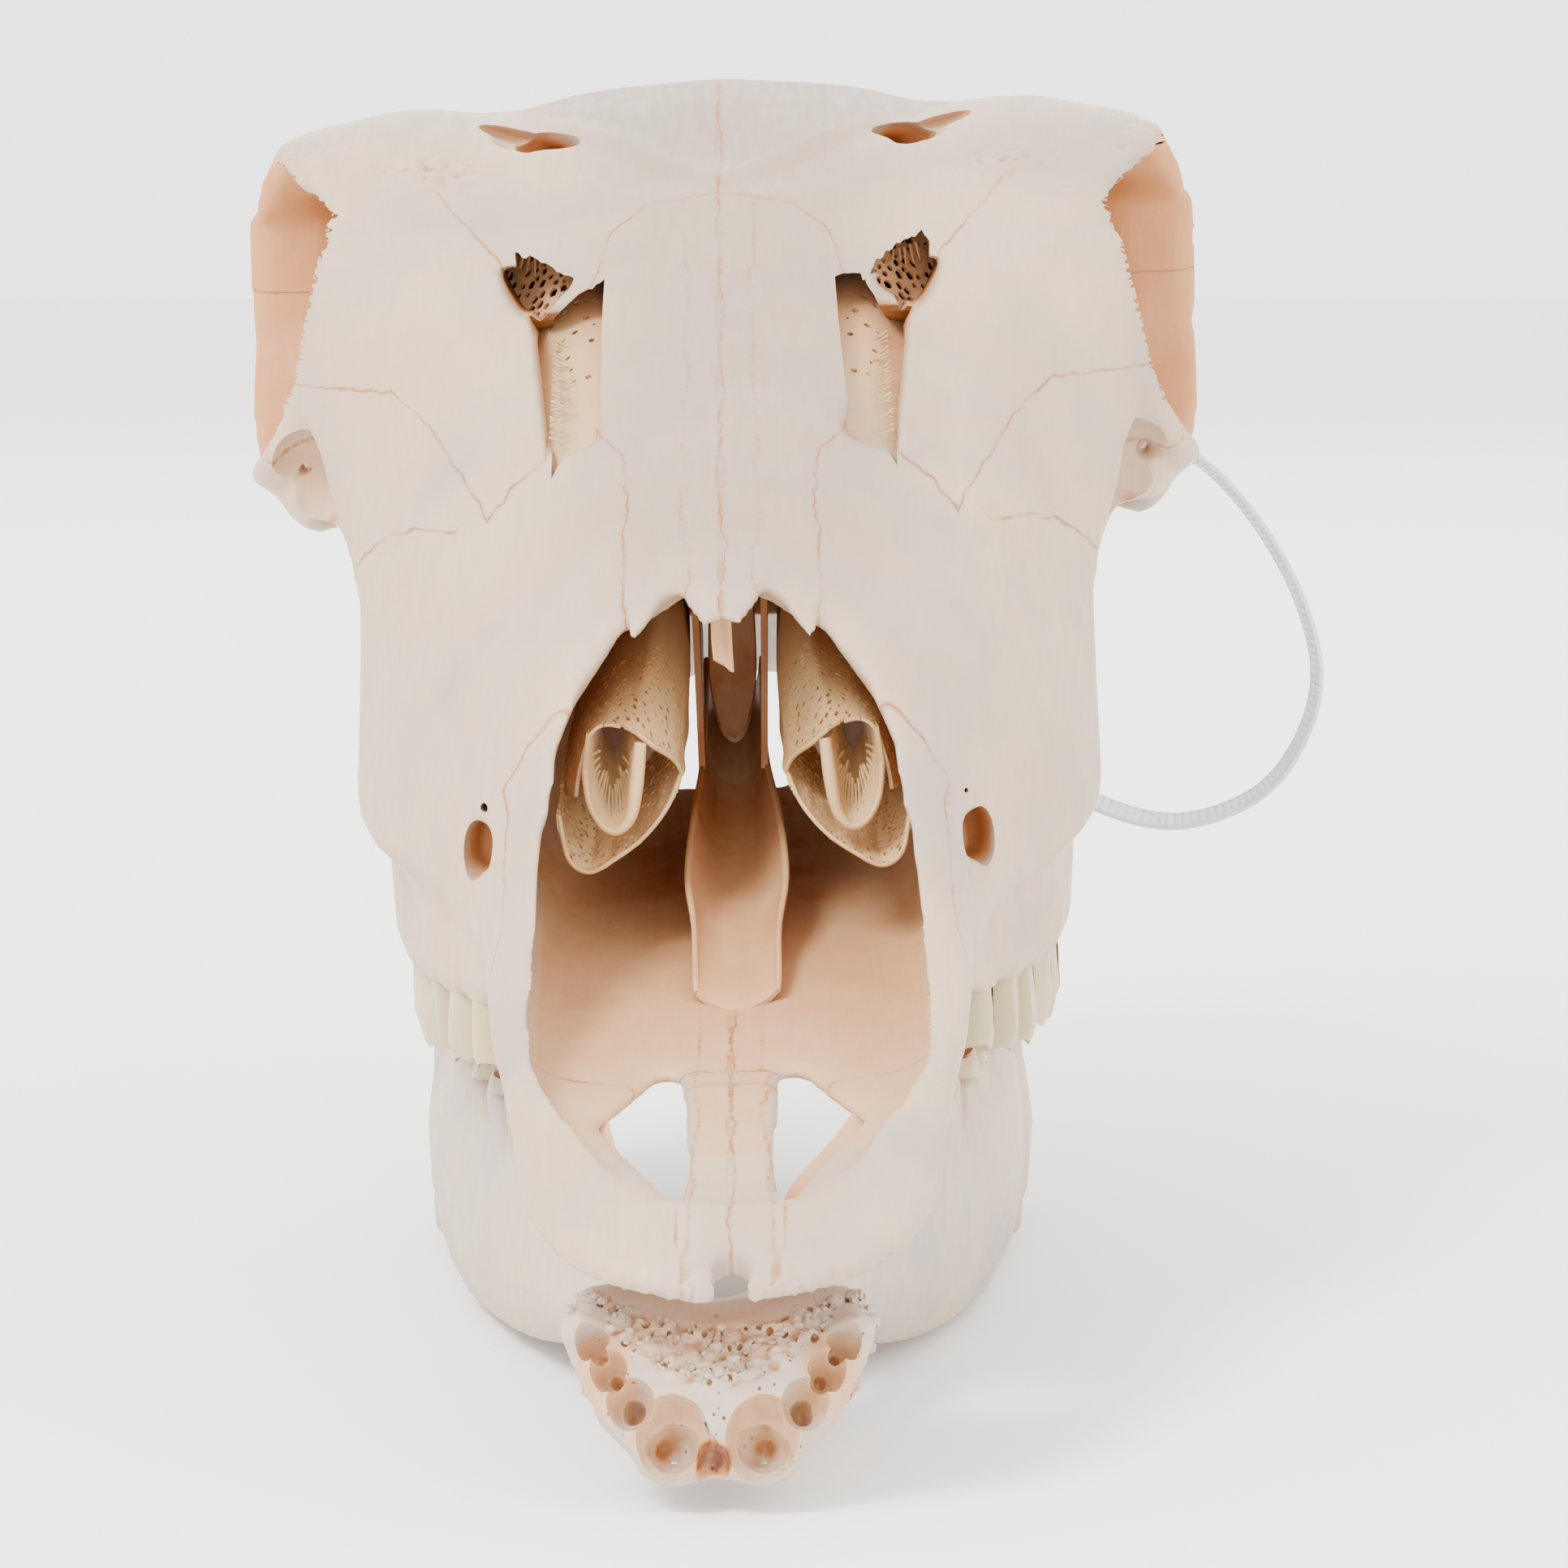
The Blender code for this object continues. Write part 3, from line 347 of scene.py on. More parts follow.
boneOutlines = {
    "nasal": [("Z", 92, 200, ((-5, 80), (13.4, 80), (14.6, 104), (13.6, 122), (14.4, 140), (17.4, 149), (20.1, 159),
                              (20.3, 190), (16.8, 203), (12, 211), (-5, 214)))],
    "lacrimal": [("Y", 120, 212, ((25.5, 128.6), (30, 125), (35, 121), (42, 131), (50.5, 138), (63, 138), (90, 138),
                                  (90, 165.5), (64.5, 165.5), (52, 171), (45, 168.5), (34.4, 156.8), (29, 148),
                                  (27, 140)))],
    "premaxilla": [("X", -5, 60, ((-20, 20), (52, 20), (52, 40), (97, 86), (97, 140), (-20, 140))),
                   ("Z", 20, 52, ((-5, -10), (7.2, -10), (7.2, 66), (-5, 66)))],
    "jugal": [("Y", 150, 212, ((36, 119), (50, 118), (57.5, 110), (58, 95), (95, 95), (95, 150), (60, 148), (48, 141),
                               (41, 134), (34, 124))),
              ("X", 57, 95, ((208, 95), (258, 95), (270, 150), (208, 150)))],
    "frontal": [("X", -5, 95, ((190, 149), (212, 140), (232, 149), (256, 149), (288, 158), (294, 200), (190, 200)))],
    "maxilla": [("Y", -20, 212, ((-5, 0), (95, 0), (95, 160), (-5, 160)))],
}
midBoneOutlines = {
    "occipital": [("X", -95, 95, ((312, 60), (318, 100), (336, 145), (334, 175), (400, 175), (400, 60)))],
    "parietal": [("X", -95, 95, ((270, 145), (345, 139), (345, 200), (270, 200)))],
}


def mirrorLine(points):
    return [Vector((-p.x, p.y)) for p in points]


def regionShapes(parts, wide, left):
    # the closed shapes that hold one bone, on the given side
    shapes = []
    for axis, low, high, outline in parts:
        points = seamLine(outline, wide)
        grow = 0.1 if wide else 0
        low = low - grow
        high = high + grow
        if left and axis == "X":
            low, high = -high, -low
        elif left:
            points = mirrorLine(points)
        shapes.append(prism("region", points, axis, low, high))
    return shapes


def takeBone(rest, parts, name, left=False):
    inner = regionShapes(parts, False, left)
    whole = inner[0]
    for other in inner[1:]:
        carve(whole, other, "UNION")
    bone = carve(copyOf(rest, name), whole, "INTERSECT")
    for outer in regionShapes(parts, True, left):
        carve(rest, outer)
    return dropScraps(bone)


def dropScraps(obj, share=0.02):
    # leaves out the crumbs that a cut leaves behind
    bm = bmesh.new()
    bm.from_mesh(obj.data)
    left = set(bm.faces)
    islands = []
    while left:
        todo = [left.pop()]
        island = []
        while todo:
            face = todo.pop()
            island.append(face)
            for edge in face.edges:
                for other in edge.link_faces:
                    if other in left:
                        left.remove(other)
                        todo.append(other)
        islands.append(island)
    largest = max(len(island) for island in islands)
    crumbs = [face for island in islands if len(island) < largest * share for face in island]
    bmesh.ops.delete(bm, geom=crumbs, context="FACES")
    bm.to_mesh(obj.data)
    bm.free()
    return obj


# Cranium
craniumNodes = [bone + side for bone in ("premaxilla", "maxilla", "nasal", "lacrimal", "jugal", "frontal")
                for side in ("_left", "_right")] + ["parietal", "occipital", "braincase"]
upperTeethZone = {"inner": 20, "outer": 75, "front": 96, "back": 208, "edge": 55.0, "below": 20}

cranium = meltedCopies("cranium", craniumNodes, skull["seamClosing"])
melt(cranium, skull["voxel"], skull["smoothing"])
zone = upperTeethZone
for side in (1, -1):
    low = (min(side * zone["inner"], side * zone["outer"]), zone["front"], zone["below"])
    high = (max(side * zone["inner"], side * zone["outer"]), zone["back"], zone["edge"])
    carve(cranium, block("teeth off", low, high))
openings = {
    # centre, radii, turn of the balls that open a hole, for the side with the tie and for the other
    "brow hole": (((29.0, 236, 173.4), (5.2, 9, 2.2), (-14, 7, 14)),
                  ((-26.8, 235, 173.0), (5.4, 9, 2.6), (-14, -5, -8))),
    "brow groove": (((34.0, 232, 175.6), (6.5, 6, 1.5), (-10, -14, 10)), ((-32, 233, 175.0), (6.2, 6, 1.6), (-10, 14, -10))),
    "cheek hole": (((34.8, 106, 77.8), (2.8, 17, 4.2), (6, 0, 20)), ((-34.4, 106, 77.6), (2.7, 17, 4.2), (6, 0, -20))),
    "foramen": (((34.9, 152, 134.9), (0.6, 6, 0.9), (0, 0, 10)), ((-34.9, 150, 134.9), (0.7, 6, 1.1), (0, 0, -10))),
    "little foramen": (((31.4, 140, 126), (0.45, 6, 0.6), (0, 0, 10)), ((-37.6, 154, 131), (0.45, 6, 0.7), (0, 0, -10))),
    "small cheek hole": (((33.4, 104, 84.3), (0.45, 8, 0.4), (0, 0, 10)), ((-33.9, 104, 83.4), (0.85, 8, 0.75),
                         (0, 0, -10))),
}
# outlines of the gaps beside the nasal bones, from the front as (x, z)
gaps = {
    "lower left": (135, ((-17.6, 153.6), (-17.9, 147.7), (-17.9, 142.8), (-17.8, 135.5), (-17.5, 133.9), (-19.2, 133.3),
                         (-21.1, 132.1), (-23.1, 130.1), (-25.1, 126.8), (-25.3, 130.7), (-25.2, 135.7), (-25.3, 141.8),
                         (-25.6, 145.5), (-25.7, 147.7), (-23.8, 149.7), (-21.8, 151.5), (-20.1, 152.4))),
    "lower right": (135, ((17.6, 153.6), (18.0, 146.9), (18.4, 142.0), (19.1, 134.6), (19.2, 133.1), (20.9, 132.8),
                          (23.3, 131.0), (26.0, 127.3), (26.0, 134.4), (26.0, 140.5), (26.2, 144.8), (25.0, 147.3),
                          (23.5, 150.6), (21.6, 153.5))),
    "upper left": (165, ((-31.5, 157.5), (-29.2, 157.1), (-26.8, 156.1), (-24.4, 154.8), (-22.3, 153.6), (-23.2, 152.3),
                         (-24.4, 151.3), (-25.7, 149.6), (-27.7, 147.5), (-29.5, 149.0), (-30.6, 152.0),
                         (-31.3, 154.9))),
    "upper right": (165, ((23.0, 153.6), (24.1, 155.6), (26.6, 157.2), (29.1, 158.4), (31.3, 159.4), (32.4, 157.8),
                          (32.3, 154.4), (31.4, 151.7), (29.5, 149.7), (27.7, 147.8), (26.4, 150.6), (25.2, 152.7))),
}
gapDepth = 216


def raggedOutline(outline, seed):
    # short steps along the outline, with spikes where it is the edge of the frontal bone
    points = []
    corners = [Vector(p) for p in outline]
    pick = random.Random(seed)
    for a, b in zip(corners, corners[1:] + corners[:1]):
        steps = max(1, round((b - a).length / 0.62))
        for k in range(steps):
            point = a.lerp(b, k / steps)
            top = point.y > 152.4
            amount = pick.uniform(-0.3, 0.42) if top else pick.uniform(-0.07, 0.07)
            points.append(point + Vector((0, amount)))
    return points


for seed, (start, outline) in enumerate(gaps.values()):
    carve(cranium, prism("gap", raggedOutline(outline, seed), "Y", start, gapDepth))
# the hollow of the cheek bone under each orbit
fossa = {"at": ((63.5, 122.5), (-63.6, 124.0)), "radii": (10.5, 8.0, 9.5), "bite": 2.3}
fossaTree = BVHTree.FromObject(cranium, bpy.context.evaluated_depsgraph_get())
for x, z in fossa["at"]:
    start = skullPlace @ Vector((x, 120, z))
    ahead = (skullPlace @ Vector((x, 240, z)) - start).normalized()
    hit = fossaTree.ray_cast(start, ahead)[0]
    if hit:
        at = skullPlace.inverted() @ hit
        side = 1 if x > 0 else -1
        centre = at + Vector((0, fossa["bite"] - fossa["radii"][1], -2))
        carve(cranium, ball("fossa", centre, fossa["radii"], (-24, side * 24, 0), segments=96))
palateHoles = (
    ((-6.4, 60), (-11.3, 60), (-16.9, 52), (-15.9, 46), (-13.8, 41), (-11.9, 37), (-10.2, 33), (-8.9, 28),
     (-7.9, 28), (-6.9, 33), (-6.2, 40), (-6.3, 52)),
    ((6.6, 60), (11.3, 60), (17.1, 52), (15.6, 46), (13.2, 41), (10.6, 37), (8.6, 33), (7.0, 28),
     (6.0, 28), (5.9, 33), (6.3, 40), (6.5, 52)),
)
tipGap = ((-1.3, -4), (-2.6, 0.5), (-1.9, 3.2), (-0.1, 5.6), (1.7, 3.4), (2.6, 0.6), (1.3, -4))
armGrooves = (
    ((-20.6, 58, 54.5), (-18.6, 50, 48.5), (-16.2, 43, 44), (-13.2, 37, 40.6), (-10.6, 31.5, 38), (-9.0, 27, 36.4)),
    ((20.6, 58, 54.5), (19.2, 50, 48.5), (16.6, 43, 44), (13.0, 37, 40.6), (9.8, 31.5, 38), (7.6, 27, 36.4)),
)
def soften(obj, low, high, times):
    # rounds the edges of all that lies in the box
    bm = bmesh.new()
    bm.from_mesh(obj.data)
    back = skullPlace.inverted()
    near = []
    for vert in bm.verts:
        here = back @ vert.co
        if low[0] < here.x < high[0] and low[1] < here.y < high[1] and low[2] < here.z < high[2]:
            near.append(vert)
    for _ in range(times):
        bmesh.ops.smooth_vert(bm, verts=near, factor=0.5, use_axis_x=True, use_axis_y=True, use_axis_z=True)
    bm.to_mesh(obj.data)
    bm.free()


armRounding = {"low": (-32, 16, 40), "high": (32, 88, 84), "times": 26}
soften(cranium, armRounding["low"], armRounding["high"], armRounding["times"])
for outline in palateHoles:
    carve(cranium, prism("palate hole", outline, "Z", 22, 50))
carve(cranium, prism("tip gap", tipGap, "Z", 20, 48))
for path in armGrooves:
    carve(cranium, tube("arm groove", path, (1.3, 1.2, 1.1, 1.0, 0.9, 0.7), 14, 60))
for balls in openings.values():
    for centre, radii, turn in balls:
        carve(cranium, ball("opening", centre, radii, turn, segments=32))

# Wrinkled bone beside the orbits and a grainy lower edge of the snout: centre, radii, height, size
wrinkles = (
    ((66, 226, 168), (14, 16, 10), 0.75, 2.6),
    ((-66, 226, 168), (14, 16, 10), 0.75, 2.6),
    ((61, 212, 150), (7, 8, 24), 0.6, 2.2),
    ((-61, 212, 150), (7, 8, 24), 0.6, 2.2),
    ((60, 208, 134), (16, 9, 5), 0.7, 2.0),
    ((-60, 208, 134), (16, 9, 5), 0.7, 2.0),
    ((45, 216, 170), (12, 10, 5), 0.6, 1.8),
    ((-45, 216, 170), (12, 10, 5), 0.6, 1.8),
)
tipGrains = {"band": 1.7, "height": 0.5, "size": 1.1}
# the forehead ends in a low step shaped like a V, and the dome rises behind it
browStep = {"front": 213, "slope": 0.85, "width": 7.0, "height": 1.5, "above": 150, "top": 181, "halfWidth": 44}


def roughen(obj, place, amount):
    # moves each point along its normal by amount(point in mm), in mm
    bm = bmesh.new()
    bm.from_mesh(obj.data)
    bm.normal_update()
    back = place.inverted()
    for vert in bm.verts:
        by = amount(back @ vert.co)
        if by:
            vert.co += vert.normal * by * mm
    bm.to_mesh(obj.data)
    bm.free()


def wrinkleAt(p):
    by = 0.0
    for centre, radii, height, size in wrinkles:
        if abs(p.x - centre[0]) < radii[0] and abs(p.y - centre[1]) < radii[1] and abs(p.z - centre[2]) < radii[2]:
            reach = math.sqrt(sum(((a - b) / r) ** 2 for a, b, r in zip(p, centre, radii)))
            by += height * max(0.0, 1 - reach) * (noise.fractal(p / size, 1.0, 2.0, 2) - 0.15) * 1.6
    # the lower edge of the snout, which rises to both sides, is grainy
    edge = 30.6 + 0.0045 * p.x * p.x
    if p.z < 36 and abs(p.x) < 28 and abs(p.z - edge) < tipGrains["band"] and p.y < 3 + abs(p.x) * 0.95:
        by += tipGrains["height"] * noise.fractal(p / tipGrains["size"], 1.0, 2.0, 2)
    step = browStep
    if p.z > step["above"] and p.y > step["front"] and abs(p.x) < step["halfWidth"]:
        behind = min(1.0, max(0.0, (p.y - step["front"] - step["slope"] * abs(p.x)) / step["width"]))
        behind = behind * behind * (3 - 2 * behind) * min(1.0, max(0.0, (step["top"] - p.z) / 7))
        behind *= min(1.0, (step["halfWidth"] - abs(p.x)) / 12)
        by += step["height"] * behind
    return by


roughen(cranium, skullPlace, wrinkleAt)


# Torn edges: small bites along the rims of the orbits
tornEdges = {
    # (x, y, z) along an edge, seen from the front
    "orbit left": ((-66, 228, 172.5), (-62.5, 222, 166), (-61.6, 218, 160.4), (-60, 214, 156.8), (-62.2, 212, 151.3),
                   (-61.2, 210, 146.3), (-62.9, 208, 139.5), (-66, 207, 135)),
    "orbit right": ((66, 230, 173.5), (61, 224, 167.4), (61.8, 222, 163.6), (60.4, 216, 156.3), (62.2, 212, 150.1),
                    (62.4, 208, 140.2), (64.1, 206, 136.5), (68, 206, 132)),
}
bites = {"spacing": 1.25, "sizes": (0.35, 0.95), "reach": 3.2}


def snapTo(tree, point, side):
    # the last point on the bone when sliding towards the orbit at this height, seen from the front
    inner, outer = point.x - side * 7, point.x + side * 7
    toWorld = skullPlace
    deep = point.y + 9
    hit = None
    for _ in range(14):
        middle = (inner + outer) / 2
        start = toWorld @ Vector((middle, point.y - 60, point.z + 7))
        ahead = (toWorld @ Vector((middle, point.y, point.z)) - start).normalized()
        found = tree.ray_cast(start, ahead)[0]
        local = toWorld.inverted() @ found if found else None
        if local and local.y < deep:
            hit = local
            inner = middle
        else:
            outer = middle
    return hit or point


edgeTree = BVHTree.FromObject(cranium, bpy.context.evaluated_depsgraph_get())
cutters = bmesh.new()
pick = random.Random(17)
for name, line in tornEdges.items():
    side = 1 if line[0][0] > 0 else -1
    length = sum((Vector(b) - Vector(a)).length for a, b in zip(line, line[1:]))
    count = int(length / bites["spacing"])
    for k in range(count):
        point = snapTo(edgeTree, between(line, (k + pick.uniform(0.1, 0.9)) / count), side)
        size = pick.uniform(*bites["sizes"])
        if pick.random() < 0.16:
            size *= 1.9
        reach = bites["reach"] * pick.uniform(0.25, 0.6)
        turn = Matrix.Rotation(math.radians(pick.uniform(-28, 28)), 4, "Y")
        shape = Matrix.Diagonal((reach, 3.2, size * 0.55, 1))
        made = bmesh.ops.create_icosphere(cutters, subdivisions=2, radius=1)
        place = skullPlace @ Matrix.Translation(point + Vector((side * 0.3, 0.6, 0))) @ turn @ shape
        bmesh.ops.transform(cutters, matrix=place, verts=made["verts"])
carve(cranium, finishMesh("bites", cutters))
print(round(time.time() - started, 1), "cranium melted:", len(cranium.data.polygons), "faces")


# How far each point lies inside the skull, by rays from a coarse copy. The bone material turns it into painted shade
# and painted orange bounce light, with some real staining
depthLook = {"voxel": 2.6, "rays": 22, "reach": 70.0, "offset": 1.2}


def depthField(objects):
    joined = bmesh.new()
    for obj in objects:
        joined.from_mesh(obj.data)
    coarse = finishMesh("coarse", joined)
    melt(coarse, depthLook["voxel"], 1)
    tree = BVHTree.FromObject(coarse, bpy.context.evaluated_depsgraph_get())
    count = depthLook["rays"]
    rays = []
    for k in range(count):
        # evenly spread directions over the sphere
        z = 1 - (2 * k + 1) / count
        a = k * math.pi * (3 - math.sqrt(5))
        rays.append(Vector((math.sqrt(1 - z * z) * math.cos(a), math.sqrt(1 - z * z) * math.sin(a), z)))
    field = KDTree(len(coarse.data.vertices))
    values = []
    reach = depthLook["reach"] * mm
    for i, vert in enumerate(coarse.data.vertices):
        start = vert.co + vert.normal * depthLook["offset"] * mm
        total = 0.0
        blocked = 0.0
        for ray in rays:
            weight = ray.dot(vert.normal)
            if weight <= 0.05:
                continue
            total += weight
            distance = tree.ray_cast(start, ray, reach)[3]
            if distance is not None:
                blocked += weight * (1 - 0.35 * distance / reach)
        values.append(blocked / total)
        field.insert(vert.co + vert.normal * 2.5 * mm, i)
    field.balance()
    bpy.data.objects.remove(coarse, do_unlink=True)
    return field, values


# places given more painted shade and painted orange bounce light than their depth says, with some real staining:
# centre, radii, least depth
shadeAndStainZones = (
    ((73, 238, 147), (29, 30, 34), 0.66),        # inside the orbits
    ((-73, 238, 147), (29, 30, 34), 0.66),
    ((28, 240, 168), (8, 10, 8), 0.86),          # brow holes
    ((-28, 240, 168), (8, 10, 8), 0.86),
    ((35, 114, 77), (6.5, 10, 7), 0.80),         # cheek holes
    ((-35, 114, 77), (6.5, 10, 7), 0.80),
    ((-14, 42, 38), (5, 12, 6), 0.52),           # flanges beside the holes of the palate
    ((12, 42, 38), (5, 12, 6), 0.52),
)
noseRim = {"x": ((4, 6), (12, 9), (20, 12.5), (28, 16.5), (38, 18.5), (58, 21.3), (72, 22.3), (93, 22.1)),
           "z": ((4, 35), (12, 38.8), (20, 42), (28, 47), (38, 53), (58, 61.3), (72, 68.4), (82, 78.5), (93, 91)),
           "palate": 0.46, "wall": 0.56}
# the same painted shade and bounce light, with some real staining, in the sockets and notch at the front of the jaw
jawShadeAndStainZones = (
    ((-6.6, 7, 11), (6.6, 8, 7), 0.50),
    ((6.0, 7, 11), (6.6, 8, 7), 0.50),
    ((-6.6, 10, 7.6), (2.4, 5, 2.2), 0.86),      # brown bottoms of the front sockets
    ((6.2, 10, 7.6), (2.4, 5, 2.2), 0.86),
    ((-15, 13, 17), (7, 8, 8), 0.52),
    ((15, 13, 17), (7, 8, 8), 0.52),
    ((0, 17, 21), (22, 9, 6), 0.42),             # spongy rim
    ((-0.8, 4, 7.6), (3.4, 8, 3.6), 1.0),        # dark notch below the middle
)


# the strongest painted shade and stain of the given places around p
def mostShadeAndStain(p, places):
    most = 0.0
    for centre, radii, least in places:
        reach = math.sqrt(sum(((a - b) / r) ** 2 for a, b, r in zip(p, centre, radii)))
        if reach < 1:
            most = max(most, least * min(1, (1 - reach) * 3.2))
    return most


def shadeAndStainAt(p, facing):
    # facing is how far the surface faces away from the middle of the skull, from -1 to 1
    most = mostShadeAndStain(p, shadeAndStainZones)
    # inside the nose, below the rim of its opening, floor and walls get painted shade and orange bounce light, more
    # towards the back
    if 22 < p.y < 160 and abs(p.x) < 32 and facing < 0.3:
        below = float(np.interp(p.y, *zip(*noseRim["z"]))) - p.z
        inside = float(np.interp(p.y, *zip(*noseRim["x"]))) - abs(p.x)
        if below > 0:
            fade = min(1, below / 9) * min(1, (p.y - 22) / 14) * min(1, max(0, 1 - max(0, -inside - 5) / 4))
            most = max(most, fade * (noseRim["palate"] + (noseRim["wall"] - noseRim["palate"]) * min(1, p.y / 95)))
    return most


creviceLook = {"spread": 5}


def paintDepth(obj, field, values):
    mesh = obj.data
    count = len(mesh.vertices)
    attribute = mesh.attributes.new("depth", "FLOAT", "POINT")
    out = np.zeros(count, dtype=np.float32)
    ofJaw = obj.name.startswith("mandible")
    back = (jawPlace if ofJaw else skullPlace).inverted()
    for vert in mesh.vertices:
        near = field.find_n(vert.co + vert.normal * 2.5 * mm, 4)
        weights = [1 / (distance + 1e-5) for _, _, distance in near]
        deep = sum(w * values[n[1]] for w, n in zip(weights, near)) / sum(weights)
        here = back @ vert.co
        # the jaw gets less painted shade than its depth says, and more in the given places at its front
        if ofJaw:
            deep *= 0.62 if here.y > 30 else 0.42
            if here.y < 30 and vert.normal.y < 0.7:
                deep = max(deep, mostShadeAndStain(here, jawShadeAndStainZones))
        elif vert.normal.y < 0.6:
            facing = (back.to_3x3() @ vert.normal).normalized().x * (1 if here.x > 0 else -1)
            deep = max(deep, shadeAndStainAt(here, facing))
        # the lace behind the gaps and the turbinates get less painted shade, a painted glow of light shining through
        # their thin bone
        if obj.name.startswith("ethmoid"):
            deep = min(deep, 0.52)
        elif obj.name.startswith("turbinate"):
            deep *= 0.6
        out[vert.index] = deep
    attribute.data.foreach_set("value", out)
    # how hollow the surface is at each point; the material colours hollows darker and browner than ridges
    coords = np.zeros(count * 3)
    normals = np.zeros(count * 3)
    mesh.vertices.foreach_get("co", coords)
    mesh.vertices.foreach_get("normal", normals)
    coords = coords.reshape(-1, 3)
    ends = np.zeros(len(mesh.edges) * 2, dtype=np.int32)
    mesh.edges.foreach_get("vertices", ends)
    a, b = ends[0::2], ends[1::2]
    shares = np.bincount(ends, minlength=count)[:, None]
    spread = coords
    for _ in range(creviceLook["spread"]):
        total = np.zeros((count, 3))
        for axis in range(3):
            total[:, axis] = (np.bincount(a, spread[b, axis], count) + np.bincount(b, spread[a, axis], count))
        spread = total / np.maximum(shares, 1)
    hollow = np.sum((spread - coords) * normals.reshape(-1, 3), axis=1) / mm
    crevice = mesh.attributes.new("crevice", "FLOAT", "POINT")
    crevice.data.foreach_set("value", hollow.astype(np.float32))


# Lower jaw
jawLook = {"voxel": 0.66, "smoothing": 9}
sockets = {
    "places": ((6, 7, 9.2), (11.8, 9.4, 14), (14.8, 12.4, 18), (17.2, 15.2, 21.4)),
    "radii": (5.9, 4.1, 3.5, 3.2),
    "wall": 0.75,
    "lean": 22,
    "leanStep": 6,
}


spongy = {
    "swell": 1.1,             # height of the lumps on the spongy rim
    "lump": 2.0,              # their size
    "crumbs": 300,
    "crumbSizes": (0.3, 0.75),
    "pits": 170,
    "pitSizes": (0.3, 0.7),
    "pitSpacing": 1.3,
}


def onRim(p):
    # the spongy rim between the flat shelf and the empty sockets, in the jaw's frame
    line = 12.5 + 0.026 * p.x * p.x
    if p.y > 30 or p.z < 13.5 or not -4.5 < p.y - line < 3.4:
        return False
    near = min((Vector((abs(p.x), p.z)) - Vector((x, z + 1.6))).length - radius
               for (x, y, z), radius in zip(sockets["places"], sockets["radii"]))
    return near > -0.3


def inSocket(p):
    return p.y < 14 and p.z < 19 + 0.3 * abs(p.x) and p.z > 3


jaw = meltedCopies("jaw", ["mandible_left", "mandible_right"], 0.2)
melt(jaw, jawLook["voxel"], jawLook["smoothing"])
for side in (-1, 1):
    for i, (x, y, z) in enumerate(sockets["places"]):
        radius = sockets["radii"][i] - sockets["wall"]
        turn = (-(sockets["lean"] + sockets["leanStep"] * i), 0, side * 8 * i)
        tall = radius * (1.28 if i == 0 else 1.1)
        carve(jaw, ball("socket", (side * x, y - 3.9, z + 1.6), (radius, 7.4, tall), turn, jawPlace))
jawFront = ((-22, -2, 2), (22, 34, 30))


def withCrumbs(obj, count, sizes, seed, zone, place, reach):
    # the same piece with small grains of bone grown on its surface
    pick = random.Random(seed)
    name = obj.name
    back = place.inverted()
    near = []
    for polygon in obj.data.polygons:
        here = back @ polygon.center
        if all(a < c < b for a, c, b in zip(reach[0], here, reach[1])) and zone(here):
            near.append(here)
    grains = bmesh.new()
    for _ in range(count):
        radius = pick.uniform(*sizes)
        shape = Matrix.Diagonal((*[radius * pick.uniform(0.6, 1.4) for _ in range(3)], 1))
        made = bmesh.ops.create_icosphere(grains, subdivisions=1, radius=1)
        bmesh.ops.transform(grains, matrix=place @ Matrix.Translation(pick.choice(near)) @ shape, verts=made["verts"])
    whole = joinAll("whole", [obj, finishMesh("grains", grains)])
    whole.name = name
    return whole


def jawRoughness(p):
    if p.y > 32 or p.z < 3:
        return 0
    strength = 1.0 if onRim(p) else 0.12
    return noise.fractal(p / spongy["lump"], 1.0, 2.0, 3) * spongy["swell"] * strength


for name, path, radius in (("middle groove", ((0.4, 24, 28), (-0.5, 18, 22.5), (0.2, 13, 18.5), (-0.9, 8.5, 14),
                                              (-0.9, 4, 9.6)), (0.4, 0.6, 0.7, 0.8, 0.9)),):
    carve(jaw, tube(name, path, radius, 12, 40, jawPlace))
carve(jaw, ball("notch", (-0.9, 3.0, 7.2), (2.5, 5, 2.6), (-30, 0, 0), jawPlace, 32))
roughen(jaw, jawPlace, jawRoughness)
pierce(jaw, spongy["pits"], spongy["pitSpacing"], spongy["pitSizes"], 21, onRim, (1, 1.25, 1.9), jawPlace,
       jawFront)
pierce(jaw, 90, 1.1, (0.16, 0.36), 22, inSocket, (1, 1.3, 2), jawPlace, jawFront)
pierce(jaw, 60, 1.6, (0.1, 0.2), 23, lambda p: p.z > 20 and not onRim(p), (1, 1.2, 2), jawPlace,
       jawFront)
for side in (-1, 1):
    for x, y, z, size in ((8.0, 9.0, 8.6, 0.7), (5.6, 9.4, 8.0, 0.6), (6.8, 9.2, 10.2, 0.45)):
        carve(jaw, ball("nerve hole", (side * x, y, z), (size, 3, size), (-20, 0, 0), jawPlace, 16))
chin = [(0, -20), (0, 420), (-120, 420), (-120, -20)]
jawLeft = carve(copyOf(jaw, "mandibleLeft"), prism("left side", seamLine(chin, False), "Z", -20, 260, jawPlace),
                "INTERSECT")
jawRight = carve(jaw, prism("right side", seamLine(chin, True), "Z", -20, 260, jawPlace))
jawRight.name = "mandibleRight"
jaws = [withCrumbs(dropScraps(half), spongy["crumbs"] // 2, spongy["crumbSizes"], seed, onRim, jawPlace, jawFront)
        for seed, half in ((19, jawLeft), (20, jawRight))]
print(round(time.time() - started, 1), "jaws made:", [len(piece.data.polygons) for piece in jaws])

field, values = depthField([cranium] + jaws)
print(round(time.time() - started, 1), "depth field:", len(values), "points")

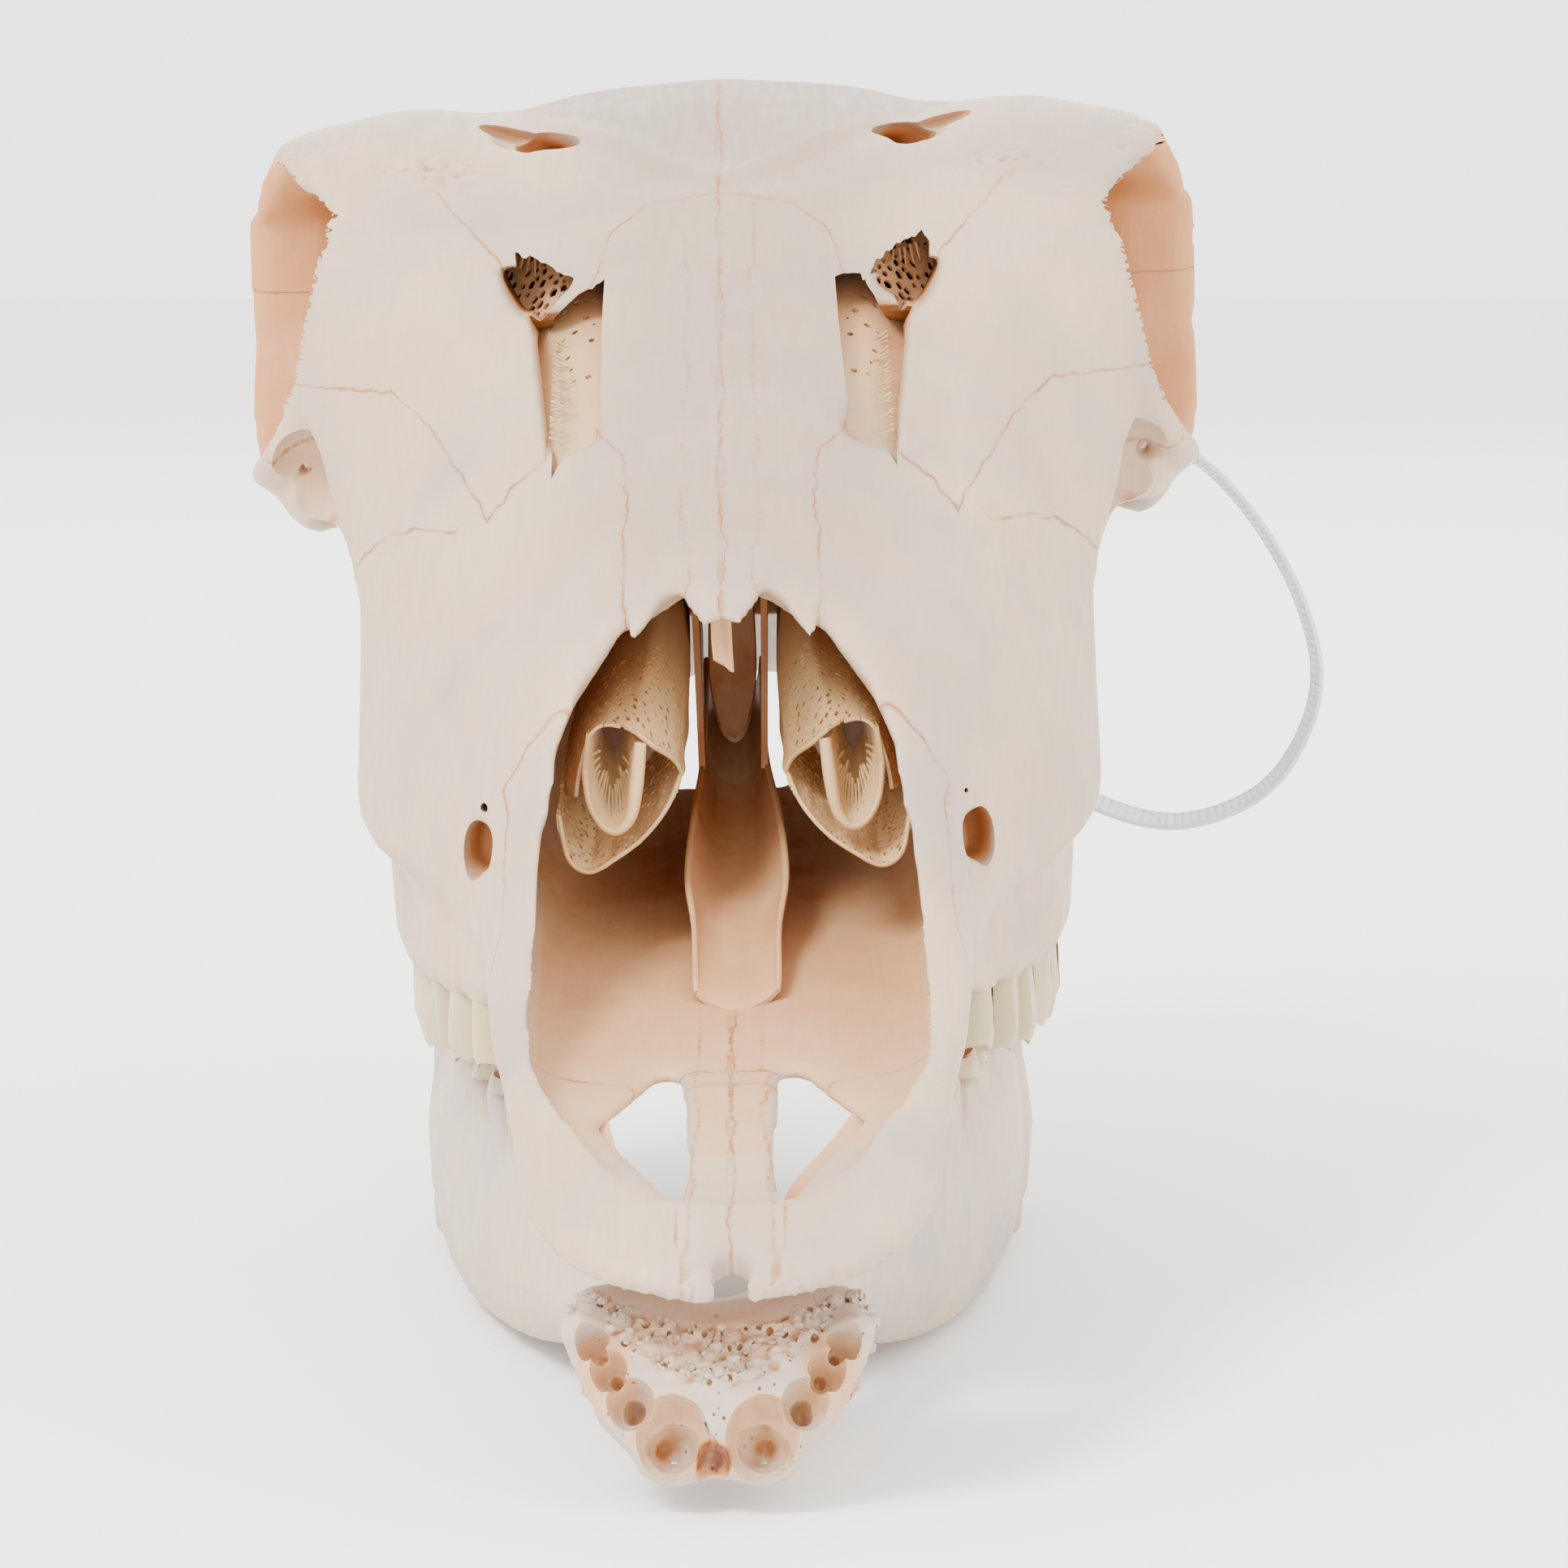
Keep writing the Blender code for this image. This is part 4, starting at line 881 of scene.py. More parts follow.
bones = {}
side = copyOf(cranium, "left half")
middle = seamLine(((0, -30), (0, 420), (-120, 420), (-120, -30)), False)
carve(side, prism("left side", middle, "Z", -20, 260), "INTERSECT")
middleWide = seamLine(((0, -30), (0, 420), (-120, 420), (-120, -30)), True)
other = copyOf(cranium, "right half")
carve(other, prism("right side", middleWide, "Z", -20, 260))
for half, word, left in ((side, "Left", True), (other, "Right", False)):
    for bone, parts in boneOutlines.items():
        bones[bone + word] = takeBone(half, parts, bone + word, left)
# the back of the skull is whole across the middle
front = []
back = cranium
for bone, parts in boneOutlines.items():
    for left in (True, False):
        for outer in regionShapes(parts, True, left):
            carve(back, outer)
for bone, parts in midBoneOutlines.items():
    bones[bone] = takeBone(back, parts, bone)
back.name = "braincasePiece"
bones["braincase"] = dropScraps(back)
for spare in (side, other):
    bpy.data.objects.remove(spare, do_unlink=True)
print(round(time.time() - started, 1), "bones parted:", {name: len(obj.data.polygons) for name, obj in bones.items()})

def paintSeams(obj, own):
    # distance in mm from each point to the nearest seam line that bounds this bone
    mesh = obj.data
    coords = np.zeros(len(mesh.vertices) * 3)
    mesh.vertices.foreach_get("co", coords)
    back = skullPlace.inverted()
    coords = coords.reshape(-1, 3) @ np.array(back.to_3x3()).T + np.array(back.translation)
    nearest = np.full(len(coords), 9.0)
    known = list(boneOutlines.items()) + list(midBoneOutlines.items())
    names = [name for name, _ in known]
    last = names.index(own) if own in names else len(names)
    flat = {"X": (1, 2, 0), "Y": (0, 2, 1), "Z": (0, 1, 2)}
    lines = [(axis, low, high, outline) for name, parts in known[:last + 1] for axis, low, high, outline in parts]
    if own in boneOutlines:
        lines.append(("Z", -20, 260, ((0, -30), (0, 420), (-120, 420), (-120, -30))))
    for axis, low, high, outline in lines:
        points = seamLine(outline, False)
        for left in (False, True):
            a, b, c = flat[axis]
            line = np.array([(-p.x if left and axis != "X" else p.x, p.y) for p in points])
            span = (-high, -low) if left and axis == "X" else (low, high)
            inside = np.nonzero((coords[:, c] > span[0] - 1) & (coords[:, c] < span[1] + 1))[0]
            if not len(inside):
                continue
            tree = KDTree(len(line))
            for i, (x, y) in enumerate(line):
                tree.insert((x, y, 0), i)
            tree.balance()
            for i in inside:
                distance = tree.find((coords[i, a], coords[i, b], 0))[2]
                if distance < nearest[i]:
                    nearest[i] = distance
    attribute = mesh.attributes.new("seam", "FLOAT", "POINT")
    attribute.data.foreach_set("value", nearest.astype(np.float32))


for obj in list(bones.values()) + jaws:
    paintDepth(obj, field, values)
for name, obj in bones.items():
    own = name.replace("Left", "").replace("Right", "")
    paintSeams(obj, own)
print(round(time.time() - started, 1), "depth painted")


# Materials
def linear(colour):
    parts = [int(colour[i:i + 2], 16) / 255 for i in (1, 3, 5)]
    return (*[p / 12.92 if p <= 0.04045 else ((p + 0.055) / 1.055) ** 2.4 for p in parts], 1)


def node(tree, kind, settings=None, **inputs):
    made = tree.nodes.new(kind)
    for key, value in (settings or {}).items():
        setattr(made, key, value)
    for key, value in inputs.items():
        socket = made.inputs[int(key[1:]) if key[0] == "i" and key[1:].isdigit() else key.replace("_", " ")]
        if isinstance(value, bpy.types.NodeSocket):
            tree.links.new(value, socket)
        else:
            socket.default_value = value
    return made


def ramp(tree, value, stops):
    made = tree.nodes.new("ShaderNodeValToRGB")
    tree.links.new(value, made.inputs["Fac"])
    elements = made.color_ramp.elements
    while len(elements) < len(stops):
        elements.new(0.5)
    for element, (position, colour) in zip(elements, stops):
        element.position = position
        element.color = colour if not isinstance(colour, str) else linear(colour)
    return made.outputs["Color"]


def mix(tree, amount, a, b, blend="MIX"):
    made = node(tree, "ShaderNodeMix", {"data_type": "RGBA", "blend_type": blend})
    for index, value in ((0, amount), (6, a), (7, b)):
        if isinstance(value, bpy.types.NodeSocket):
            tree.links.new(value, made.inputs[index])
        else:
            made.inputs[index].default_value = value if not isinstance(value, str) else linear(value)
    return made.outputs[2]


def sizeOf(millimetres):
    # noise scale for a pattern of this size, for coordinates in metres
    return 1 / (millimetres * mm)


bleachedBone = {
    "pale": "#B89D82", "grey": "#A08D7E", "warm": "#B8976B",
    "patches": 26, "streaks": 1.1, "grain": 0.35, "pores": 1.7, "poreShare": 0.30,
    "roughness": 0.56, "bump": 0.25, "seam": "#95602F", "crevice": "#A8754A",
    # colour of the painted shade on the dome and the middle of the face
    "paintedShade": "#7E6C5B",
    # colours of the painted shade and painted orange bounce light, by depth
    "deepStops": ((0.36, None), (0.56, "#BF946B"), (0.76, "#B06C34"), (0.95, "#64300F")),
}


def boneMaterial(name, look):
    mat = bpy.data.materials.new(name)
    mat.use_nodes = True
    tree = mat.node_tree
    shader = tree.nodes["Principled BSDF"]
    place = node(tree, "ShaderNodeTexCoord").outputs["Object"]
    # slow patches of greyer and warmer bone
    patches = node(tree, "ShaderNodeTexNoise", Vector=place, Scale=sizeOf(look["patches"]), Detail=3.0,
                   Roughness=0.5)
    grey = ramp(tree, patches.outputs["Fac"], ((0.38, (0, 0, 0, 1)), (0.68, (1, 1, 1, 1))))
    warmth = node(tree, "ShaderNodeTexNoise", Vector=node(tree, "ShaderNodeVectorMath", i0=place,
                  i1=(0.31, 0.2, 0.7)).outputs[0], Scale=sizeOf(look["patches"] * 0.6), Detail=2.0)
    warm = ramp(tree, warmth.outputs["Fac"], ((0.5, (0, 0, 0, 1)), (0.75, (1, 1, 1, 1))))
    colour = mix(tree, grey, look["pale"], look["grey"])
    warmAmount = node(tree, "ShaderNodeMath", {"operation": "MULTIPLY"}, i0=warm, i1=0.55).outputs[0]
    colour = mix(tree, warmAmount, colour, look["warm"])
    # fibres along the length of the skull
    stretched = node(tree, "ShaderNodeMapping", Vector=place, Scale=(1, 0.09, 0.22)).outputs[0]
    streaks = node(tree, "ShaderNodeTexNoise", Vector=stretched, Scale=sizeOf(look["streaks"]), Detail=4.0)
    fibre = node(tree, "ShaderNodeMapRange", Value=streaks.outputs["Fac"], From_Min=0.35, From_Max=0.7,
                 To_Min=0.0, To_Max=0.3).outputs[0]
    colour = mix(tree, fibre, colour, look["grey"])
    grain = node(tree, "ShaderNodeTexNoise", Vector=place, Scale=sizeOf(look["grain"]), Detail=2.0)
    # pores, in fields
    cells = node(tree, "ShaderNodeTexVoronoi", {"feature": "F1"}, Vector=place, Scale=sizeOf(look["pores"]),
                 Randomness=1.0)
    fields = node(tree, "ShaderNodeTexNoise", Vector=place, Scale=sizeOf(14), Detail=1.0)
    dot = node(tree, "ShaderNodeMapRange", Value=cells.outputs["Distance"], From_Min=0.1, From_Max=0.2,
               To_Min=1.0, To_Max=0.0).outputs[0]
    where = node(tree, "ShaderNodeMapRange", Value=fields.outputs["Fac"], From_Min=0.5, From_Max=0.62,
                 To_Min=0.0, To_Max=look["poreShare"]).outputs[0]
    pores = node(tree, "ShaderNodeMath", {"operation": "MULTIPLY"}, i0=dot, i1=where).outputs[0]
    colour = mix(tree, pores, colour, "#B98C5E")
    # painted shade: the dome at the back and the middle of the face are greyer, where the light falls grazing and
    # weaker
    spot = node(tree, "ShaderNodeSeparateXYZ", Vector=place)
    off = node(tree, "ShaderNodeMath", {"operation": "SUBTRACT"}, i0=spot.outputs["X"], i1=midX).outputs[0]
    off = node(tree, "ShaderNodeMath", {"operation": "ABSOLUTE"}, i0=off).outputs[0]
    behind = node(tree, "ShaderNodeMath", {"operation": "MULTIPLY_ADD"}, i0=off, i1=-browStep["slope"],
                  i2=spot.outputs["Y"]).outputs[0]
    starts = noseY + browStep["front"] * mm
    napeShade = node(tree, "ShaderNodeMapRange", Value=behind, From_Min=starts, From_Max=starts + 0.012,
                To_Min=0.0, To_Max=0.7).outputs[0]
    middle = node(tree, "ShaderNodeMapRange", Value=off, From_Min=0.014, From_Max=0.034, To_Min=0.55,
                  To_Max=0.0).outputs[0]
    high = node(tree, "ShaderNodeMapRange", Value=spot.outputs["Z"], From_Min=0.108, From_Max=0.122).outputs[0]
    middle = node(tree, "ShaderNodeMath", {"operation": "MULTIPLY"}, i0=middle, i1=high).outputs[0]
    paintedShade = node(tree, "ShaderNodeMath", {"operation": "MAXIMUM"}, i0=napeShade, i1=middle).outputs[0]
    colour = mix(tree, paintedShade, colour, look["paintedShade"])
    # painted shade and painted orange bounce light, with some real staining: the deeper inside, the more orange, and
    # dark brown deepest
    depth = node(tree, "ShaderNodeAttribute", {"attribute_name": "depth"}).outputs["Fac"]
    wobble = node(tree, "ShaderNodeTexNoise", Vector=place, Scale=sizeOf(7), Detail=3.0).outputs["Fac"]
    depth = node(tree, "ShaderNodeMath", {"operation": "MULTIPLY_ADD"}, i0=wobble, i1=0.10, i2=depth).outputs[0]
    stops = look["deepStops"]
    deep = ramp(tree, depth, [(stops[1][0], stops[1][1]), (stops[2][0], stops[2][1]), (stops[3][0], stops[3][1])])
    inside = node(tree, "ShaderNodeMapRange", Value=depth, From_Min=stops[0][0], From_Max=stops[1][0] + 0.05,
                  To_Min=0.0, To_Max=1.0).outputs[0]
    colour = mix(tree, inside, colour, deep)
    # crevices are coloured darker and browner than ridges
    hollow = node(tree, "ShaderNodeAttribute", {"attribute_name": "crevice"}).outputs["Fac"]
    creviceDarkening = node(tree, "ShaderNodeMapRange", Value=hollow, From_Min=0.05, From_Max=0.3, To_Min=0.0,
                   To_Max=0.8).outputs[0]
    colour = mix(tree, creviceDarkening, colour, look["crevice"])
    # broken brown line along each seam
    seam = node(tree, "ShaderNodeAttribute", {"attribute_name": "seam"}).outputs["Fac"]
    nearSeam = node(tree, "ShaderNodeMapRange", Value=seam, From_Min=0.08, From_Max=0.42, To_Min=1.0,
                    To_Max=0.0).outputs[0]
    breaks = node(tree, "ShaderNodeTexNoise", Vector=place, Scale=sizeOf(9), Detail=4.0).outputs["Fac"]
    broken = node(tree, "ShaderNodeMapRange", Value=breaks, From_Min=0.40, From_Max=0.56, To_Min=0.3,
                  To_Max=1.0).outputs[0]
    onSeam = node(tree, "ShaderNodeMath", {"operation": "MULTIPLY"}, i0=nearSeam, i1=broken).outputs[0]
    colour = mix(tree, onSeam, colour, look["seam"])
    tree.links.new(colour, shader.inputs["Base Color"])
    rough = node(tree, "ShaderNodeMapRange", Value=streaks.outputs["Fac"], From_Min=0.3, From_Max=0.7,
                 To_Min=look["roughness"] - 0.07, To_Max=look["roughness"] + 0.08).outputs[0]
    tree.links.new(rough, shader.inputs["Roughness"])
    shader.inputs["IOR"].default_value = 1.5
    shader.inputs["Subsurface Weight"].default_value = 0.15
    shader.inputs["Subsurface Radius"].default_value = (1.0, 0.62, 0.38)
    shader.inputs["Subsurface Scale"].default_value = 2.0 * mm
    height = node(tree, "ShaderNodeMath", {"operation": "MULTIPLY_ADD"}, i0=grain.outputs["Fac"], i1=0.35,
                  i2=streaks.outputs["Fac"]).outputs[0]
    height = node(tree, "ShaderNodeMath", {"operation": "MULTIPLY_ADD"}, i0=pores, i1=-1.2, i2=height).outputs[0]
    bump = node(tree, "ShaderNodeBump", Height=height, Strength=look["bump"], Distance=0.25 * mm)
    tree.links.new(bump.outputs[0], shader.inputs["Normal"])
    return mat


nylonLook = {"clear": "#E9EEF2", "roughness": 0.32}


def nylonMaterial(name, look):
    mat = bpy.data.materials.new(name)
    mat.use_nodes = True
    tree = mat.node_tree
    shader = tree.nodes["Principled BSDF"]
    place = node(tree, "ShaderNodeTexCoord").outputs["Object"]
    cloud = node(tree, "ShaderNodeTexNoise", Vector=place, Scale=sizeOf(3), Detail=2.0).outputs["Fac"]
    colour = mix(tree, cloud, look["clear"], "#D8DEE4")
    tree.links.new(colour, shader.inputs["Base Color"])
    rough = node(tree, "ShaderNodeMapRange", Value=cloud, From_Min=0.3, From_Max=0.7, To_Min=look["roughness"] - 0.05,
                 To_Max=look["roughness"] + 0.08).outputs[0]
    tree.links.new(rough, shader.inputs["Roughness"])
    shader.inputs["Transmission Weight"].default_value = 0.45
    shader.inputs["IOR"].default_value = 1.53
    shader.inputs["Subsurface Weight"].default_value = 0.2
    shader.inputs["Subsurface Scale"].default_value = 1.0 * mm
    return mat


bleached = boneMaterial("bleached skull bone", bleachedBone)
jawBone = boneMaterial("bleached jaw bone", {**bleachedBone, "pale": "#BCA68D", "grey": "#A4958B",
                                             "warm": "#BCA077", "streaks": 0.8})
scrollBone = boneMaterial("papery nose bone", {**bleachedBone, "pale": "#C6A777", "grey": "#B79262",
                                               "warm": "#B98748"})
enamel = boneMaterial("old tooth enamel", {**bleachedBone, "pale": "#B5A47C", "grey": "#9E906F", "warm": "#A98646",
                                           "roughness": 0.38, "poreShare": 0.0})
clearNylon = nylonMaterial("clear nylon strap", nylonLook)


def dress(obj, mat, slot, *nodes):
    if "seam" not in obj.data.attributes:
        far = obj.data.attributes.new("seam", "FLOAT", "POINT")
        far.data.foreach_set("value", np.full(len(obj.data.vertices), 9.0, dtype=np.float32))
    obj.data.materials.clear()
    obj.data.materials.append(mat)
    obj.data.shade_smooth()
    obj.data.set_sharp_from_angle(angle=math.radians(48))
    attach(obj, "root")
    if nodes:
        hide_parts(*nodes)
    return obj


def nodeName(piece):
    # premaxillaLeft stands for premaxilla_left
    for word in ("Left", "Right"):
        if piece.endswith(word):
            return piece[:-len(word)] + "_" + word.lower()
    return piece


for name, obj in bones.items():
    obj.name = name if name not in ("parietal", "occipital", "braincase") else name + "Bone"
    dress(obj, bleached, "bone", nodeName(name))
for obj in jaws:
    dress(obj, jawBone, "jaw_bone", nodeName(obj.name))


# Cheek teeth: tall crowns with ribs down the cheek side and cusps at the chewing edge
teeth = {
    "upper": ((11, 9.5), (12, 12), (12.5, 14), (17.5, 16), (20, 17), (21.5, 16)),   # length, width
    "lower": ((8, 6.5), (11, 8), (13, 9), (17, 10.5), (19.5, 11.5), (26, 11.5)),
    "rowStart": 103.5,
    "cheekLine": ((103, 35.6), (120, 41.4), (140, 46.1), (160, 48.6), (180, 49.1), (200, 48)),
    "upperTip": ((103, 46.4), (120, 45), (160, 43.4), (200, 45.5)),
    "lowerTip": 41.6,
    "upperRoot": 64.0,
    "lowerRoot": 26.0,
    "lowerInset": 9.0,
    "gap": 0.5,
}


def onLine(keys, y):
    # value of the line of (y, value) keys at y
    return float(np.interp(y, [k[0] for k in keys], [k[1] for k in keys]))


def crown(name, centre, length, width, root, tip, lobes, cheek, place):
    # cheek is 1 or -1: the side of X on which the ribs stand
    halfLength = (length - teeth["gap"]) / 2
    halfWidth = width / 2
    height = tip - root
    seed = centre[1] * 0.37 + (3 if height > 0 else 0)

    def surface(u, v):
        a = u * math.tau
        c, d = math.cos(a), math.sin(a)
        x = math.copysign(abs(c) ** 0.62, c)
        y = math.copysign(abs(d) ** 0.72, d)
        outer = max(0.0, x * cheek)
        inner = max(0.0, -x * cheek)
        # ribs at both ends and between the lobes, rounded pillars in the middle of each
        wave = math.cos((y + 1) * math.pi * lobes)
        ribs = 0.8 * outer * (0.55 * wave ** 2 * (1 if wave > 0 else 0.35) - 0.2)
        folds = -1.5 * inner * (0.5 + 0.5 * wave) ** 3
        side = min(1.0, v / 0.74)
        tall = root + height * side
        spread = 0.84 + 0.16 * math.sin(side * 1.9) - 0.16 * max(0.0, (side - 0.8) / 0.2) ** 2
        bulge = noise.noise(Vector((x * 1.3 + seed * 3, y * 2, side * 2.2))) * 0.7
        # high cusps at the cheek edge, lower ones inside
        cusp = 0.5 - 0.5 * wave
        edge = height * (0.10 * cusp ** 0.6 * outer - 0.05 * outer - 0.07 * inner * (1 - cusp) - 0.05 * inner)
        px = halfWidth * x * spread + (ribs + folds + bulge * abs(x)) * cheek * (1 if outer else -1)
        py = halfLength * y * (0.9 + 0.1 * side)
        if side >= 0.999:
            t = (v - 0.74) / 0.26
            shrink = 1 - t
            bowl = math.sin(min(1, t * 1.6) * math.pi) * 0.06 * height
            px *= shrink
            py *= shrink
            return Vector((centre[0] + px, centre[1] + py, tall + edge * shrink ** 1.4 - bowl))
        tall += edge * max(0, (side - 0.55) / 0.45) ** 2
        wear = noise.noise(Vector((a, side * 4, seed))) * 0.25
        return Vector((centre[0] + px + wear * 0.6 * x, centre[1] + py + wear * 0.4 * y, tall))

    obj = sheet(name, surface, 64, 34, place)
    bm = bmesh.new()
    bm.from_mesh(obj.data)
    holes = [edge for edge in bm.edges if edge.is_boundary]
    bmesh.ops.holes_fill(bm, edges=holes)
    bmesh.ops.recalc_face_normals(bm, faces=bm.faces)
    bm.to_mesh(obj.data)
    bm.free()
    return obj


def toothRow(name, sizes, side, upper):
    place = skullPlace if upper else jawPlace
    pieces = []
    y = teeth["rowStart"]
    pick = random.Random(len(name) + (7 if side > 0 else 2))
    for number, (length, width) in enumerate(sizes):
        middle = y + length / 2
        cheek = onLine(teeth["cheekLine"], middle)
        lobes = 1 if number < 3 else 2
        wobble = pick.uniform(-0.9, 0.7)
        if upper:
            tip = onLine(teeth["upperTip"], middle) + wobble
            root = teeth["upperRoot"] + max(0.0, (middle - 150) * 0.05)
            centre = (side * (cheek - width / 2), middle)
            pieces.append(crown("crown", centre, length, width, root, tip, lobes, side, place))
        else:
            lobes = 3 if number == 5 else lobes
            centre = (side * (cheek - teeth["lowerInset"] - width / 2), middle)
            pieces.append(crown("crown", centre, length, width, teeth["lowerRoot"], teeth["lowerTip"] + wobble, lobes,
                                -side, place))
        y += length
    return joinAll(name, pieces)


for name, sizes, side, upper in (("upperTeethLeft", teeth["upper"], -1, True),
                                 ("upperTeethRight", teeth["upper"], 1, True),
                                 ("lowerTeethLeft", teeth["lower"], -1, False),
                                 ("lowerTeethRight", teeth["lower"], 1, False)):
    row = toothRow(name, sizes, side, upper)
    paintDepth(row, field, values)
    dress(row, enamel, "bone" if upper else "jaw_bone")
print(round(time.time() - started, 1), "teeth built")


# Inside the nose: two rolled turbinates full of holes, the trough of the vomer and a scrap of the septum
nose = {
    "middle": 1.0,           # the inside of the nose sits this far to one side
    "leafThickness": 0.5,
    "lipRadius": 0.62,
    "holes": 330,
    "holeSpacing": 1.12,
    "holeSizes": (0.26, 0.52),
}
hoodRows = (
    ((7.4, 114, 86), (8.6, 112, 88.5), (11.6, 108.5, 91), (13.8, 107.5, 93), (17.5, 107, 94), (20.8, 107, 92),
     (22.8, 108, 84)),
    ((7.3, 122, 88), (7.4, 121, 94), (9.8, 120, 99.5), (12.5, 120, 101.5), (17, 121, 99), (21.5, 121, 94),
     (24.4, 120, 85)),
    ((7.0, 140, 91), (7.0, 139, 100), (9, 138, 106), (11.5, 138, 108), (15.5, 139, 105.5), (20, 139, 99),
     (24.4, 139, 88)),
    ((7.0, 170, 96), (7.0, 168, 108), (8.5, 166, 113), (10.5, 166, 114.5), (14, 167, 112), (18, 167, 106),
     (23, 167, 93)),
)
leafRows = (
    ((7.5, 114.5, 86.5), (9.6, 111.5, 81.8), (13.2, 109, 77.6), (17.9, 107.6, 74.4), (21.2, 107.5, 73.0),
     (24, 108, 75), (25.2, 109, 81)),
    ((7.7, 120, 89), (10, 117.5, 84.6), (13.3, 116, 80.8), (17.2, 115, 78.2), (20.8, 115, 77.2), (23.6, 115.5, 79.4),
     (25, 117, 84)),
    ((8.4, 130, 93), (10.5, 129, 89), (13, 128, 86), (16.5, 127, 84), (20, 127, 83.6), (23, 128, 85.5),
     (24.5, 129, 89)),
)
scrollRows = (
    ((20.6, 106.8, 93), (21.3, 106.4, 88), (20.8, 106.2, 83.2), (19, 106.2, 79.8), (16.8, 106.2, 78.9),
     (14.8, 106.4, 81), (13.9, 106.6, 85.6), (13.2, 107, 91.5)),
    ((19.8, 112, 94), (20.3, 111.5, 89.5), (19.8, 111.5, 86), (18.6, 111.5, 83.4), (17, 111.5, 82.6),
     (15.6, 111.5, 84), (14.8, 111.5, 87.5), (14.2, 112, 92)),
    ((18.8, 121, 96), (19, 121, 93), (18.6, 121, 90.6), (18, 121, 89), (17.2, 121, 88.4), (16.4, 121, 89.2),
     (15.8, 121, 91.4), (15.4, 121, 94.4)),
)


def turbinateParts(name):
    # modelled for the side with the tie, the other side is its mirror image
    x0 = nose["middle"]
    shift = Matrix.Translation((x0, 0, 0))
    place = skullPlace @ shift
    ragged = lambda rows, amount: (lambda u, v: bent(rows)(u, v) + noise.noise_vector(
        Vector((u * 9, v * 3, len(rows)))) * amount)
    hood = thicken(sheet(name + " hood", ragged(hoodRows, 0.5), 60, 90, place), nose["leafThickness"])
    leaf = thicken(sheet(name + " leaf", ragged(leafRows, 0.5), 60, 36, place), nose["leafThickness"])
    scroll = thicken(sheet(name + " scroll", ragged(scrollRows, 0.2), 48, 26, place), nose["leafThickness"] * 1.2)
    near = lambda p: p.y < 127 and not (p.z > 103)
    pierce(hood, nose["holes"], nose["holeSpacing"], nose["holeSizes"], 3, near, (0.8, 1.5, 2.2), place)
    pierce(leaf, nose["holes"], nose["holeSpacing"] * 0.92, nose["holeSizes"], 5, None, (0.8, 1.5, 2.2), place)
    pierce(scroll, 70, 1.2, (0.22, 0.4), 8, lambda p: p.y > 108.5, (0.7, 1.5, 2.4), place)
    lip = tube(name + " lip", scrollRows[0][1:], (0.5, 0.45, 0.5, 0.62, 0.85, 1.05, 0.9), 10, 50, place)
    edge = tube(name + " edge", hoodRows[0][:4], (0.3, 0.4, 0.45, 0.4), 8, 30, place)
    edge2 = tube(name + " edge2", leafRows[0], 0.36, 8, 60, place)
    parts = [hood, leaf, scroll, lip, edge, edge2]
    # small plates that stand inside the scroll
    pick = random.Random(11)
    for k in range(16):
        u = 0.12 + 0.76 * k / 15
        start = bent(scrollRows)(u, 0.2 + 0.2 * pick.random())
        goal = start.lerp(Vector((17.3, 116, 90.5)), 0.35 + 0.25 * pick.random())
        parts.append(tube(name + " bar", (start, start.lerp(goal, 0.5) + Vector((0, 0.5, 0)), goal),
                          0.16 + 0.1 * pick.random(), 6, 8, place))
    return joinAll(name, parts)


turbinateRight = turbinateParts("turbinateRight")
turbinateLeft = mirror(turbinateRight, "turbinateLeft", 2 * 0.0 + nose["middle"])

vomerRows = (
    ((-4.9, 92.8, 57.2), (-3.6, 92, 56.0), (-1.8, 91, 55.1), (0.8, 89.6, 54.3), (3.2, 91, 55.1), (5.2, 92, 56.0),
     (6.6, 92.8, 57.2)),
    ((-5.0, 96, 59.2), (-3.8, 95.5, 58.0), (-1.8, 95, 57.4), (0.8, 94.6, 57.3), (3.2, 95, 57.4), (5.4, 95.5, 58.0),
     (6.8, 96, 59.2)),
    ((-5.2, 108, 64.6), (-4.0, 108, 62.6), (-1.9, 108, 61.2), (0.9, 108, 61.2), (3.4, 108, 61.2), (5.6, 108, 62.6),
     (7.0, 108, 64.6)),
    ((-6.1, 120, 70.6), (-4.8, 120, 67.4), (-2.4, 120, 65), (1.0, 120, 64.6), (4.2, 120, 65), (6.8, 120, 67.4),
     (8.1, 120, 70.6)),
    ((-5.2, 137, 77.4), (-4.0, 137, 73.2), (-2.2, 137, 70.4), (0.9, 137, 69.6), (4.0, 137, 70.4), (5.8, 137, 73.2),
     (7.2, 137, 77.4)),
    ((-3.8, 155, 84.6), (-3.0, 155, 80), (-1.8, 155, 77.4), (0.8, 155, 76.6), (3.4, 155, 77.4), (4.6, 155, 80),
     (5.4, 155, 84.6)),
    ((-3.4, 182, 96), (-2.8, 182, 92), (-1.6, 182, 89), (0.8, 182, 88), (3.2, 182, 89), (4.4, 182, 92),
     (5.0, 182, 96)),
)
trough = thicken(sheet("trough", bent(vomerRows), 36, 110), 0.7, 0)
rimLeft = tube("rim", [row[0] for row in vomerRows], (0.42, 0.5, 0.45, 0.55, 0.6, 0.5, 0.4), 8, 90)
rimRight = tube("rim", [row[-1] for row in vomerRows], (0.42, 0.5, 0.45, 0.55, 0.6, 0.5, 0.4), 8, 90)
